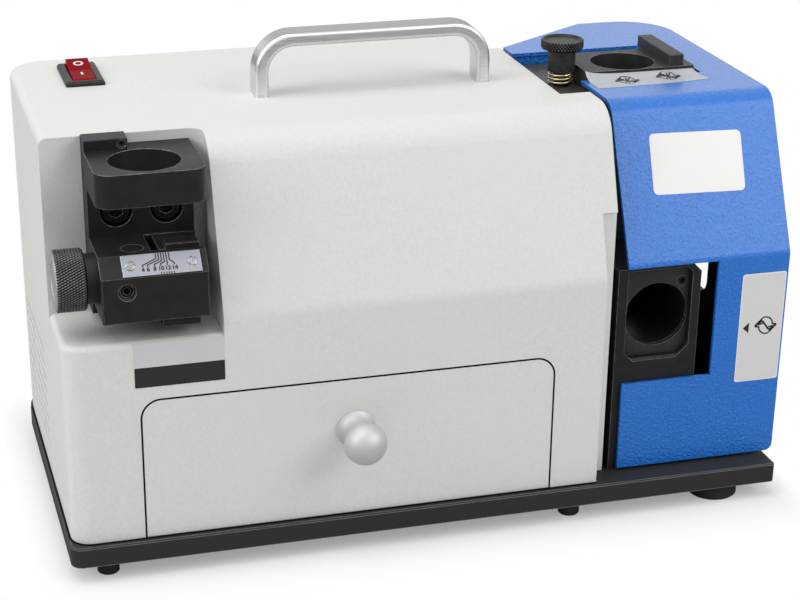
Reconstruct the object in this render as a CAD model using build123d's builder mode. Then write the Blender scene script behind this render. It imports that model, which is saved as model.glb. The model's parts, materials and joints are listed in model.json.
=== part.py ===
"""Bench grinder that re-sharpens end mills held in a collet chuck.

Millimetres, +Z up, front towards -Y. The origin is at bench level, under the centre of the bounding box.
"""

import os
from math import cos, hypot, pi, sin

from build123d import *

os.makedirs("parts", exist_ok=True)

# Fits shared by the whole machine
running_gap = 0.05
screw_gap = 0.1
plate_gap = 0.5
tip_gap = 1.0

# Screw proportions
socket_radius_ratio = 0.55
socket_depth_ratio = 0.6
screw_edge_ratio = 0.08
set_socket_radius_ratio = 0.62
set_socket_depth_ratio = 0.45

# Base plate and feet
plate_depth = 194.0
plate_thickness = 10.5
plate_front_corner = 6.0
plate_rear_corner = 24.0
plate_right_corner = 2.5
plate_edge_break = 0.8
foot_height = 9.0
foot_chamfer = 0.6
small_foot_radius = 5.5
small_foot_left_inset = 18.8
small_foot_right_inset = 19.4
small_foot_edge_inset = 11.5
large_foot_radius = 13.1
large_foot_right_inset = 28.4
large_foot_edge_inset = 16.0
foot_screw_radius = 2.0
foot_screw_bite = 7.0
foot_screw_head_radius = 3.4
foot_screw_head_height = 2.5
foot_screw_recess = 4.0

# Screws that come up through the base plate
base_screw_radius = 2.5
base_screw_bite = 10.0
base_screw_head_radius = 4.25
base_screw_head_height = 5.0
base_screw_recess = 5.5
base_screw_hole_radius = 2.8

# Housing shell
housing_inset = 1.5
housing_length = 278.5
housing_front_inset = 3.7
housing_rear_inset = 1.5
housing_height = 191.8
housing_wall = 3.0
slope_start_height = 112.0
slope_setback = 29.0
front_bend_radius = 14.0
top_bend_radius = 18.0
front_left_radius = 10.0
rear_left_radius = 20.0
top_edge_radius = 4.0
boss_radius = 5.5
boss_height = 14.0
boss_sink = 1.0

# Stepped recess at the upper left of the housing
recess_width = 77.0
recess_depth = 45.8
recess_floor_height = 103.8
recess_corner_radius = 7.0
recess_edge_radius = 3.0
bracket_pad_thickness = 8.0
bracket_pad_margin = 9.0

# Right end of the housing
bulkhead_setback = 24.0
top_lip_setback = 16.0
cheek_depth = 56.3
rear_step_depth = 39.0
front_notch_width = 8.0
front_notch_depth = 12.5
front_notch_height = 142.8
spindle_hole_radius = 17.0

# Vents
side_vent_length = 78.0
side_vent_width = 2.6
side_vent_pitch = 7.5
side_vent_count = 8
side_vent_back_inset = 68.0
side_vent_height = 42.0
rear_vent_length = 44.0
rear_vent_width = 3.0
rear_vent_pitch = 8.0
rear_vent_count = 9
rear_vent_left_offset = 148.0
rear_vent_height = 112.0

# Mains inlet on the rear wall
inlet_left_offset = 62.0
inlet_height = 38.0
inlet_width = 27.0
inlet_tall = 19.5
inlet_depth = 24.0
inlet_flange_width = 50.0
inlet_flange_tall = 23.0
inlet_flange_thickness = 2.6
inlet_mouth_width = 24.0
inlet_mouth_tall = 16.5
inlet_mouth_depth = 16.0
inlet_corner_cut = 4.0
inlet_pin_width = 2.0
inlet_pin_height = 4.0
inlet_pin_length = 11.0
inlet_pin_pitch = 7.0
inlet_pin_rise = 2.0

# Rocker switch on the housing's top
switch_left_offset = 34.5
switch_back_inset = 39.5
bezel_width = 20.0
bezel_length = 39.0
bezel_height = 2.6
bezel_chamfer = 1.2
switch_body_width = 16.5
switch_body_length = 35.5
switch_body_depth = 20.0
rocker_width = 11.5
rocker_length = 31.0
rocker_side_gap = 0.5
rocker_end_gap = 1.4
rocker_centre_rise = 3.4
rocker_end_rise = 4.4
rocker_belly = 6.0
rocker_tilt = 6.0
rocker_edge_radius = 0.8
rocker_pin_radius = 1.5
rocker_pin_bite = 1.2
rocker_well_depth = 13.0

# Carrying handle
handle_left_offset = 116.6
handle_spacing = 115.6
handle_back_inset = 95.0
handle_thickness = 7.0
handle_depth = 14.5
handle_rise = 31.7
handle_corner_radius = 20.0
handle_edge_radius = 2.2
handle_screw_radius = 2.5
handle_screw_bite = 12.0
handle_screw_head_radius = 4.5
handle_screw_head_height = 3.0

# Drawer
drawer_left_offset = 35.6
drawer_width = 209.3
drawer_height = 73.8
drawer_corner_radius = 10.0
drawer_gap = 0.5
drawer_front_thickness = 3.0
tray_side_inset = 5.0
tray_depth = 142.0
tray_height = 46.0
tray_sheet = 1.2
runner_sheet = 1.5
runner_width = 12.0
runner_height = 12.0
runner_gap = 0.25
runner_front_inset = 5.0
knob_left_offset = 105.9
knob_length = 28.5
knob_flange_radius = 9.8
knob_flange_length = 1.6
knob_neck_radius = 6.4
knob_head_radius = 10.8
knob_shoulder = 16.2
knob_cove_length = 6.4
knob_flare_length = 4.6
knob_lip_inset = 1.0
knob_lip_length = 2.2
knob_height = 46.8
knob_screw_radius = 2.0
knob_screw_bite = 10.0
knob_screw_head_radius = 3.8
knob_screw_head_height = 2.4
knob_screw_relief = 1.0

# Setting station on the left: bracket with the chuck seat
seat_left_offset = 19.6
seat_width = 51.6
seat_front_offset = 2.7
seat_thickness = 16.0
seat_top_height = 187.0
seat_corner_radius = 8.0
bracket_width = 50.6
bracket_thickness = 13.5
bracket_foot_height = 107.5
chuck_bore_radius = 17.0
seat_bore_left_offset = 25.6
seat_bore_front_offset = 20.0
bracket_screw_radius = 4.0
bracket_screw_left_offset = 13.5
bracket_screw_pitch = 24.0
bracket_screw_height = 158.1
bracket_screw_head_radius = 6.5
bracket_screw_head_height = 8.0
bracket_counterbore_radius = 7.8
stop_bar_width = 20.8
stop_bar_height = 5.8
stop_bar_depth = 11.0
stop_screw_radius = 2.0
stop_screw_length = 7.0
stop_screw_inset = 2.8
stop_bar_edge = 0.4

# Setting station: block, scale, slider and knob
block_front_offset = 3.5
block_width = 50.5
block_bottom_height = 115.5
block_face_height = 22.0
block_incline = 8.3
block_edge = 0.6
screw_line_setback = 18.0
screw_line_height = 17.0
lead_screw_radius = 3.0
slider_slot_end_gap = 0.2
slider_slot_width = 21.8
slider_slot_front = 12.0
slider_slot_depth = 21.8
slider_gap = 0.2
slider_left = 29.25
slider_length = 19.25
slider_cap_length = 16.1
slider_cap_depth = 7.8
slider_cap_height = 2.6
slider_travel = 3.5
cover_plug_left = 17.5
cover_plug_setback = 17.3
cover_plug_radius = 5.3
cover_plug_depth = 3.0
lock_screw_left = 12.0
lock_screw_height = 15.1
lock_screw_radius = 3.0
lock_screw_length = 8.0
lock_counterbore_radius = 4.2
lock_counterbore_depth = 2.0
block_screw_radius = 2.5
block_screw_bite = 9.0
block_screw_height = 5.0
block_screw_margin = 8.0
block_screw_head_radius = 4.25
block_screw_head_height = 5.0
scale_plate_left = 10.35
scale_plate_length = 37.05
scale_plate_width = 10.9
scale_plate_thickness = 0.8
scale_screw_inset = 4.0
scale_screw_radius = 1.0
scale_screw_head_radius = 1.8
scale_screw_head_height = 0.7
scale_screw_bite = 2.5
heel_left = 29.0
heel_width = 18.0
heel_setback = 6.0
heel_depth = 24.0
heel_height = 6.0
setting_knob_radius = 14.9
setting_knob_length = 14.35
setting_knob_chamfer = 1.2
setting_knob_grip = 12.0
collar_radius = 12.0
collar_length = 5.2
collar_gap = 0.4

# Motor and its shelf
spindle_front_inset = 105.3
spindle_height = 101.5
shelf_height = 54.5
shelf_thickness = 4.0
shelf_leg_thickness = 8.0
shelf_leg_gap = 1.0
shelf_front_offset = 58.0
shelf_rear_gap = 9.8
shelf_screw_margin = 20.0
motor_radius = 46.0
motor_left_offset = 90.0
motor_length = 113.0
motor_foot_length = 70.0
motor_foot_width = 64.0
stator_bore_radius = 28.0
rotor_gap = 0.6
rotor_length = 87.0
bell_length = 15.0
bell_wall = 4.0
bell_hole_radius = 7.0
shaft_radius = 6.0
bearing_radius = 16.0
bearing_width = 10.0
bearing_gap = 0.03
bearing_sink = 1.0
fan_radius = 38.0
fan_width = 12.0
fan_hub_radius = 11.0
fan_blade_count = 9
fan_blade_thickness = 1.6
fan_disc_thickness = 2.0
fan_clearance = 5.0
fan_blade_sink = 1.0
shaft_tail = 2.0
shaft_chamfer = 0.8

# Grinding wheel
wheel_flange_radius = 16.0
wheel_flange_length = 8.0
wheel_flange_clearance = 1.5
wheel_body_radius = 38.0
wheel_body_length = 20.0
wheel_recess_radius = 28.0
wheel_recess_depth = 6.0
rim_radius = 45.0
rim_length = 24.0
rim_chamfer = 3.0
nut_width = 19.0
nut_height = 10.0
shaft_nose = 4.0

# Wheel head plates
head_gap = 2.0
left_plate_left_inset = 4.0
left_plate_thickness = 14.0
right_plate_thickness = 7.5
right_plate_edge_inset = 0.5
right_plate_front_inset = 9.0
back_plate_thickness = 7.0
back_plate_rear_inset = 7.0
head_height = 173.5
access_slot_width = 52.0
access_slot_height = 65.0
access_slot_corner = 8.0
access_slot_edge = 5.0
plate_screw_radius = 2.5
plate_screw_bite = 12.0
plate_screw_head_radius = 4.25
plate_screw_head_height = 4.0
plate_screw_recess = 4.4
plate_screw_margin = 40.0
head_screw_margin = 32.0

# Front chuck holder
holder_left_offset = 3.0
holder_width = 45.0
holder_front_offset = 11.9
holder_depth = 44.4
holder_height = 111.5
holder_corner_cut = 4.2
front_bore_left_offset = 23.25
front_bore_height = 84.2
face_pocket_left_inset = 5.25
face_pocket_right_inset = 4.6
face_pocket_height = 62.0
face_pocket_top_inset = 1.4
face_pocket_depth = 6.4
face_pocket_left_cut = 3.8
face_pocket_right_cut = 5.6
face_pocket_top_cut = 3.0
face_pocket_edge = 1.2
face_plate_gap = 0.3
face_plate_thickness = 2.4
face_screw_radius = 2.6
face_screw_length = 7.0
face_screw_right = 13.1
face_screw_rise = 17.1

# Top carrier with its chuck holder and feed knob
carrier_left_gap = 2.0
carrier_front_gap = 6.0
carrier_width = 86.0
carrier_depth = 84.0
carrier_thickness = 7.0
carrier_float = 2.0
carrier_corner_radius = 5.0
carrier_travel = 1.0
post_radius = 4.0
post_bite = 20.0
post_margin = 15.0
post_cover = 0.8
feed_knob_radius = 11.2
feed_knob_head_height = 4.8
feed_knob_neck_radius = 7.25
feed_knob_neck_height = 12.1
feed_knob_chamfer = 0.8
feed_dish_radius = 10.1
feed_dish_depth = 1.0
feed_screw_radius = 4.0
feed_screw_bite = 22.0
spring_length = 7.3
spring_wire_radius = 0.6
spring_radius = 6.4
spring_turns = 3
spring_seat_gap = 0.15
top_holder_left_offset = 24.8
top_holder_width = 60.2
top_holder_front_offset = 26.5
top_holder_depth = 37.9
top_holder_height = 10.0
top_holder_corner_cut = 1.0
top_bore_left_offset = 51.3
top_sleeve_radius = 22.0
top_sleeve_length = 15.0
top_stop_width = 8.0
top_stop_right_inset = 5.6
top_stop_length = 43.0
top_stop_setback = 1.0
top_stop_height = 6.0

# Guard
guard_gap = 7.1
guard_width = 88.2
guard_overhang = 3.3
guard_rear_overhang = 10.0
guard_sheet = 2.0
guard_rest_gap = 0.4
guard_slope_gap = 4.0
guard_brow_gap = 9.5
guard_front_inset = 13.1
guard_bottom_gap = 1.6
guard_bend_height = 113.7
guard_slope_setback = 36.4
guard_height = 189.0
guard_front_bend_radius = 7.0
guard_top_bend_radius = 12.0
guard_window_width = 49.0
guard_window_bottom = 49.5
guard_window_top = 112.5
guard_notch_front = 90.0
guard_notch_back = 150.0
guard_notch_right_inset = 21.0
guard_rear_strip_reach = 17.0
guard_lip_setback = 1.0
guard_lip_drop = 9.5
guard_diagonal_x = 58.5
guard_diagonal_y = 39.5
guard_rear_corner = 28.0
guard_bottom_corner = 4.0

# Guard hinge
hinge_left_inset = 30.0
hinge_length = 46.0
hinge_sheet = 2.4
hinge_barrel_radius = 4.0
hinge_pin_radius = 2.0
hinge_barrel_sink = 1.0
hinge_axis_drop = 7.5
hinge_knuckle_gap = 0.4
hinge_leaf_tall = 24.0
hinge_leaf_reach = 26.0
hinge_screw_radius = 2.0
hinge_screw_bite = 5.0
hinge_screw_head_radius = 3.6
hinge_screw_head_height = 2.0
hinge_screw_drop = 12.0
hinge_screw_margin = 7.5

# Frame, left to right
overall_length = housing_inset + housing_length + guard_gap + guard_width
plate_length = overall_length - guard_overhang
plate_left = -overall_length / 2
plate_right = plate_left + plate_length
housing_left = plate_left + housing_inset
housing_right = housing_left + housing_length
guard_left = housing_right + guard_gap
guard_right = guard_left + guard_width

# Frame, front to back
front_reach = knob_length - housing_front_inset
overall_depth = front_reach + plate_depth + guard_rear_overhang
plate_front = front_reach - overall_depth / 2
plate_back = plate_front + plate_depth
housing_front = plate_front + housing_front_inset
housing_back = plate_back - housing_rear_inset
guard_front = plate_front + guard_front_inset
guard_back = plate_back + guard_rear_overhang

# Frame, bench upwards
plate_top = foot_height + plate_thickness
housing_top = plate_top + housing_height
slope_start = plate_top + slope_start_height
slope_back = housing_front + slope_setback
guard_top = plate_top + guard_height
head_top = plate_top + head_height

# Recess and right end of the housing
recess_right = housing_left + recess_width
recess_back = housing_front + recess_depth
recess_floor = plate_top + recess_floor_height
bulkhead_right = housing_right - bulkhead_setback
bulkhead_left = bulkhead_right - housing_wall
top_lip_right = housing_right - top_lip_setback
cheek_back = housing_front + cheek_depth
rear_step_front = housing_back - rear_step_depth
front_notch_left = housing_right - front_notch_width
front_notch_back = housing_front + front_notch_depth
front_notch_top = plate_top + front_notch_height

# Spindle line
spindle_y = housing_front + spindle_front_inset
spindle_z = plate_top + spindle_height
spindle_axis = Axis((0, spindle_y, spindle_z), (1, 0, 0))
spindle_plane = Plane(origin=(0, spindle_y, spindle_z), x_dir=(1, 0, 0), z_dir=(0, -1, 0))

# Drawer places
drawer_left = housing_left + drawer_left_offset
drawer_right = drawer_left + drawer_width
drawer_top = plate_top + drawer_height
knob_x = drawer_left + knob_left_offset
tray_left = drawer_left + tray_side_inset
tray_right = drawer_right - tray_side_inset
tray_front = housing_front + drawer_front_thickness
tray_back = tray_front + tray_depth
tray_bottom = plate_top + runner_sheet + runner_gap
tray_top = tray_bottom + tray_height
knob_centre_z = plate_top + knob_height

# Setting station places
seat_left = housing_left + seat_left_offset
seat_front = housing_front - seat_front_offset
seat_top = plate_top + seat_top_height
seat_bottom = seat_top - seat_thickness
bracket_front = recess_back - bracket_thickness
bracket_right = seat_left + bracket_width
bracket_bottom = plate_top + bracket_foot_height
seat_bore = (seat_left + seat_bore_left_offset, seat_front + seat_bore_front_offset)
bracket_screw_z = plate_top + bracket_screw_height
bracket_screw_xs = [seat_left + bracket_screw_left_offset + bracket_screw_pitch * i for i in range(2)]
stop_bar_front = recess_back - stop_bar_depth
stop_screw_x = seat_left + stop_bar_width - stop_screw_inset
stop_screw_z = seat_top + stop_bar_height / 2
block_left = seat_left
block_right = block_left + block_width
block_front = housing_front - block_front_offset
block_bottom = plate_top + block_bottom_height
block_shoulder = block_bottom + block_face_height
block_deck = block_shoulder + block_incline
screw_y = block_front + screw_line_setback
screw_z = block_bottom + screw_line_height
slot_front = block_front + slider_slot_front
slot_back = slot_front + slider_slot_width
slot_bottom = block_deck - slider_slot_depth
slider_start = block_left + slider_left
slot_left = slider_start - slider_travel - slider_slot_end_gap
slider_end = slider_start + slider_length
slider_front = slot_front + slider_gap
slider_cap_start = slider_end - slider_cap_length
lock_x = block_left + lock_screw_left
lock_z = block_bottom + lock_screw_height
collar_left = block_left - collar_length
setting_knob_right = collar_left - collar_gap
setting_knob_left = setting_knob_right - setting_knob_length

# Motor places
shelf_bottom = plate_top + shelf_height - shelf_thickness
shelf_top = plate_top + shelf_height
shelf_front = housing_front + shelf_front_offset
shelf_back = housing_back - housing_wall - shelf_rear_gap
shelf_right = bulkhead_left - shelf_leg_gap
shelf_left = tray_left - runner_sheet - plate_gap - shelf_leg_gap - shelf_leg_thickness
motor_left = housing_left + motor_left_offset
motor_right = motor_left + motor_length
fan_right = motor_left - bell_length - fan_clearance
shaft_left = fan_right - fan_width - shaft_tail

# Wheel head places
left_plate_left = housing_right - left_plate_left_inset
left_plate_right = left_plate_left + left_plate_thickness
left_plate_front = cheek_back + head_gap
right_plate_right = plate_right - right_plate_edge_inset
right_plate_left = right_plate_right - right_plate_thickness
right_plate_front = plate_front + guard_front_inset + right_plate_front_inset
back_plate_back = plate_back - back_plate_rear_inset
back_plate_front = back_plate_back - back_plate_thickness
holder_left = housing_right + holder_left_offset
holder_right = holder_left + holder_width
holder_front = housing_front + holder_front_offset
holder_back = holder_front + holder_depth
holder_top = plate_top + holder_height
front_bore_x = holder_left + front_bore_left_offset
front_bore_z = plate_top + front_bore_height
face_pocket_left = holder_left + face_pocket_left_inset
face_pocket_right = holder_right - face_pocket_right_inset
face_pocket_bottom = plate_top + face_pocket_height
face_pocket_top = holder_top - face_pocket_top_inset
face_floor = holder_front + face_pocket_depth
face_plate_front = face_floor - face_plate_thickness
face_screw_x = front_bore_x + face_screw_right
face_screw_z = front_bore_z + face_screw_rise
flange_left = left_plate_right + wheel_flange_clearance
wheel_left = flange_left + wheel_flange_length
wheel_right = wheel_left + wheel_body_length
nut_left = wheel_right - wheel_recess_depth
shaft_right = nut_left + nut_height + shaft_nose

# Top carrier places
carrier_left = top_lip_right + carrier_left_gap
carrier_right = carrier_left + carrier_width
carrier_front = cheek_back + carrier_front_gap
carrier_back = carrier_front + carrier_depth
carrier_bottom = head_top + carrier_float
carrier_top = carrier_bottom + carrier_thickness
post_x = left_plate_left + left_plate_thickness / 2
post_top = carrier_top - post_cover - carrier_travel - plate_gap
post_ys = [carrier_front + post_margin, carrier_back - post_margin]
feed_y = spindle_y
feed_neck_bottom = carrier_top + spring_length
feed_head_bottom = feed_neck_bottom + feed_knob_neck_height
feed_head_top = feed_head_bottom + feed_knob_head_height
top_bore_x = carrier_left + top_bore_left_offset
top_holder_left = carrier_left + top_holder_left_offset
top_holder_right = top_holder_left + top_holder_width
top_holder_front = carrier_front + top_holder_front_offset
top_holder_back = top_holder_front + top_holder_depth
top_holder_top = carrier_top + top_holder_height
top_stop_right = top_holder_right - top_stop_right_inset

# Guard places, and the right plate's edge that follows the guard
guard_bottom = plate_top + guard_bottom_gap
guard_bend = plate_top + guard_bend_height
guard_slope_back = guard_front + guard_slope_setback
slope_run = guard_slope_setback / (guard_top - guard_bend)
right_plate_top = guard_top - guard_sheet - guard_rest_gap
right_plate_shoulder = guard_bend + (right_plate_front_inset - guard_slope_gap) / slope_run
right_plate_brow = guard_front + (right_plate_top - guard_bend) * slope_run + guard_brow_gap
access_slot_bottom = plate_top + access_slot_height
left_screw_recess = left_plate_thickness - right_plate_thickness + plate_screw_recess
guard_strip_left = guard_left - guard_rear_strip_reach
guard_notch_y0 = plate_front + guard_notch_front
guard_notch_y1 = plate_front + guard_notch_back
guard_notch_right = guard_right - guard_notch_right_inset
guard_lip_front = guard_notch_y1 + guard_lip_setback
hinge_y = back_plate_back + hinge_sheet + hinge_barrel_radius - hinge_barrel_sink
hinge_z = guard_top - hinge_axis_drop
hinge_left = guard_left + hinge_left_inset
hinge_right = hinge_left + hinge_length
knuckle = hinge_length / 3


def block_between(x_span, y_span, z_span, mode=Mode.ADD):
    """Add or cut the block that fills three spans of the machine's axes."""
    spans = (x_span, y_span, z_span)
    with Locations(tuple((low + high) / 2 for low, high in spans)):
        Box(*(high - low for low, high in spans), mode=mode)


def edge_at(part, point):
    """The edge of a part that lies nearest to a point."""
    return part.edges().sort_by_distance(point)[0]


def corner_at(sketch, point):
    """The vertex of a sketch that lies nearest to a point of its plane."""
    return sketch.vertices().sort_by_distance(point)[0]


def socket_screw(shank_radius, shank_length, head_radius, head_height):
    """A socket-head screw: the head stands up from the origin, the shank points down."""
    with BuildPart() as screw:
        Cylinder(head_radius, head_height, align=(Align.CENTER, Align.CENTER, Align.MIN))
        Cylinder(shank_radius, shank_length, align=(Align.CENTER, Align.CENTER, Align.MAX))
        with BuildSketch(Plane.XY.offset(head_height)):
            RegularPolygon(head_radius * socket_radius_ratio, 6)
        extrude(amount=-head_height * socket_depth_ratio, mode=Mode.SUBTRACT)
        rim = screw.edges().filter_by(GeomType.CIRCLE).group_by(Axis.Z)[-1]
        chamfer(rim, head_height * screw_edge_ratio)
    return screw.part


def headless_screw(radius, length):
    """A socket set screw whose open end is at the origin and whose body points down."""
    with BuildPart() as screw:
        Cylinder(radius, length, align=(Align.CENTER, Align.CENTER, Align.MAX))
        with BuildSketch(Plane.XY):
            RegularPolygon(radius * set_socket_radius_ratio, 6)
        extrude(amount=-length * set_socket_depth_ratio, mode=Mode.SUBTRACT)
    return screw.part


def turned(plane, axis, points):
    """A solid of revolution from the half section given by points (along the axis, radius)."""
    with BuildPart() as solid:
        with BuildSketch(plane):
            with BuildLine():
                Polyline(*points, close=True)
            make_face()
        revolve(axis=axis)
    return solid.part


# Base plate
small_foot_ys = [plate_front + small_foot_edge_inset, plate_back - small_foot_edge_inset]
small_foot_xs = [plate_left + small_foot_left_inset, housing_right - small_foot_right_inset]
large_foot_ys = [plate_front + large_foot_edge_inset, plate_back - large_foot_edge_inset]
large_foot_x = plate_right - large_foot_right_inset
small_feet = [(x, y) for x in small_foot_xs for y in small_foot_ys]
large_feet = [(large_foot_x, y) for y in large_foot_ys]

left_boss_x = housing_left + housing_wall + boss_radius - boss_sink
rear_boss_y = housing_back - housing_wall - boss_radius + boss_sink
cheek_boss_x = bulkhead_right + boss_radius - boss_sink
shell_bosses = [
    (left_boss_x, recess_back),
    (left_boss_x, rear_boss_y - rear_left_radius),
    (cheek_boss_x, recess_back),
    (bulkhead_left - rear_left_radius, rear_boss_y),
]
shelf_leg_xs = [shelf_left + shelf_leg_thickness / 2, shelf_right - shelf_leg_thickness / 2]
shelf_screw_ys = [shelf_front + shelf_screw_margin, shelf_back - shelf_screw_margin]
shelf_screws = [(x, y) for x in shelf_leg_xs for y in shelf_screw_ys]
holder_screws = [
    ((holder_left + holder_right) / 2 + side * holder_width / 4, (holder_front + holder_back) / 2)
    for side in (-1, 1)
]
left_plate_screws = [
    (post_x, y) for y in (left_plate_front + head_screw_margin, back_plate_back - head_screw_margin)
]
right_plate_x = (right_plate_left + right_plate_right) / 2
right_plate_screws = [
    (right_plate_x, y) for y in (right_plate_front + head_screw_margin, back_plate_back - head_screw_margin)
]
base_screw_places = shell_bosses + shelf_screws + holder_screws + left_plate_screws + right_plate_screws

with BuildPart() as base_plate:
    block_between((plate_left, plate_right), (plate_front, plate_back), (foot_height, plate_top))
    upright = base_plate.edges().filter_by(Axis.Z)
    fillet(upright.sort_by_distance((plate_left, plate_front, plate_top))[0], plate_front_corner)
    upright = base_plate.edges().filter_by(Axis.Z)
    fillet(upright.sort_by_distance((plate_left, plate_back, plate_top))[0], plate_rear_corner)
    right_corners = base_plate.edges().filter_by(Axis.Z).group_by(Axis.X)[-1]
    fillet(right_corners, plate_right_corner)
    chamfer(base_plate.edges().group_by(Axis.Z)[-1], plate_edge_break)
    with Locations(*[(x, y, foot_height) for x, y in small_feet + large_feet]):
        Cylinder(foot_screw_radius + screw_gap, foot_screw_bite + tip_gap, mode=Mode.SUBTRACT,
                 align=(Align.CENTER, Align.CENTER, Align.MIN))
    with Locations(*[(x, y, foot_height) for x, y in base_screw_places]):
        Cylinder(base_screw_hole_radius, plate_thickness, mode=Mode.SUBTRACT,
                 align=(Align.CENTER, Align.CENTER, Align.MIN))
        Cylinder(base_screw_head_radius + screw_gap, base_screw_recess, mode=Mode.SUBTRACT,
                 align=(Align.CENTER, Align.CENTER, Align.MIN))
base_plate.part.label = "base_plate"
export_step(base_plate.part, "parts/base_plate.step")


def foot(radius):
    """A turned rubber foot, recessed from below for its screw's head."""
    with BuildPart() as pad:
        Cylinder(radius, foot_height, align=(Align.CENTER, Align.CENTER, Align.MIN))
        chamfer(pad.edges().group_by(Axis.Z)[0], foot_chamfer)
        Cylinder(foot_screw_radius + screw_gap, foot_height, mode=Mode.SUBTRACT,
                 align=(Align.CENTER, Align.CENTER, Align.MIN))
        Cylinder(foot_screw_head_radius + screw_gap, foot_screw_recess, mode=Mode.SUBTRACT,
                 align=(Align.CENTER, Align.CENTER, Align.MIN))
    return pad.part


small_foot = foot(small_foot_radius)
with BuildPart() as feet_small:
    with Locations(*small_feet):
        add(small_foot)
feet_small.part.label = "feet_small"
export_step(feet_small.part, "parts/feet_small.step")

large_foot = foot(large_foot_radius)
with BuildPart() as feet_large:
    with Locations(*large_feet):
        add(large_foot)
feet_large.part.label = "feet_large"
export_step(feet_large.part, "parts/feet_large.step")

foot_screw_length = foot_height - foot_screw_recess + foot_screw_bite
foot_screw = socket_screw(foot_screw_radius, foot_screw_length, foot_screw_head_radius,
                          foot_screw_head_height)
with BuildPart() as foot_screws:
    with Locations(*[Plane((x, y, foot_screw_recess), z_dir=(0, 0, -1)) for x, y in small_feet + large_feet]):
        add(foot_screw)
foot_screws.part.label = "foot_screws"
export_step(foot_screws.part, "parts/foot_screws.step")

base_screw_seat = foot_height + base_screw_recess
base_screw_length = plate_thickness - base_screw_recess + base_screw_bite
base_screw = socket_screw(base_screw_radius, base_screw_length, base_screw_head_radius,
                          base_screw_head_height)
with BuildPart() as base_screws:
    with Locations(*[Plane((x, y, base_screw_seat), z_dir=(0, 0, -1)) for x, y in base_screw_places]):
        add(base_screw)
base_screws.part.label = "base_screws"
export_step(base_screws.part, "parts/base_screws.step")


# Housing shell
def housing_outline(inset):
    """The side outline of the housing, moved inwards by inset, as front-to-back and upward points."""
    slope_rise = housing_height - slope_start_height
    lean = hypot(slope_setback, slope_rise)
    shift = inset * (lean - slope_setback) / slope_rise
    return [
        (housing_front + inset, plate_top),
        (housing_front + inset, slope_start + inset * slope_setback / (lean + slope_rise)),
        (slope_back + shift, housing_top - inset),
        (housing_back - inset, housing_top - inset),
        (housing_back - inset, plate_top),
    ]


with BuildPart() as housing_cavity:
    with BuildSketch(Plane.YZ.offset(housing_left + housing_wall)) as inner_outline:
        with BuildLine():
            Polyline(*housing_outline(housing_wall), close=True)
        make_face()
        fillet(corner_at(inner_outline, (housing_front + housing_wall, slope_start)),
               front_bend_radius - housing_wall)
        fillet(corner_at(inner_outline, (slope_back + housing_wall, housing_top - housing_wall)),
               top_bend_radius - housing_wall)
    extrude(amount=housing_length - housing_wall)
    block_between((bulkhead_left, bulkhead_right), (plate_front, plate_back), (plate_top, housing_top),
                  Mode.SUBTRACT)
    block_between((plate_left, recess_right + housing_wall), (plate_front, recess_back + housing_wall),
                  (recess_floor - housing_wall, housing_top), Mode.SUBTRACT)
    block_between((front_notch_left - housing_wall, plate_right),
                  (plate_front, front_notch_back + housing_wall),
                  (plate_top, front_notch_top + housing_wall), Mode.SUBTRACT)
    with Locations(*[(x, y, plate_top) for x, y in shell_bosses]):
        Cylinder(boss_radius, boss_height, mode=Mode.SUBTRACT,
                 align=(Align.CENTER, Align.CENTER, Align.MIN))
    inner_corner = (housing_left + housing_wall, housing_back - housing_wall, slope_start)
    rear_left = housing_cavity.edges().filter_by(Axis.Z).sort_by_distance(inner_corner)
    fillet(rear_left[0], rear_left_radius - housing_wall)
    block_between((bracket_screw_xs[0] - bracket_pad_margin, bracket_screw_xs[1] + bracket_pad_margin),
                  (recess_back, recess_back + bracket_pad_thickness),
                  (bracket_screw_z - bracket_pad_margin, bracket_screw_z + bracket_pad_margin),
                  Mode.SUBTRACT)

handle_xs = [housing_left + handle_left_offset + handle_spacing * i for i in range(2)]
handle_y = housing_back - handle_back_inset
switch_x = housing_left + switch_left_offset
switch_y = housing_back - switch_back_inset
inlet_x = housing_left + inlet_left_offset
inlet_z = plate_top + inlet_height

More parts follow.
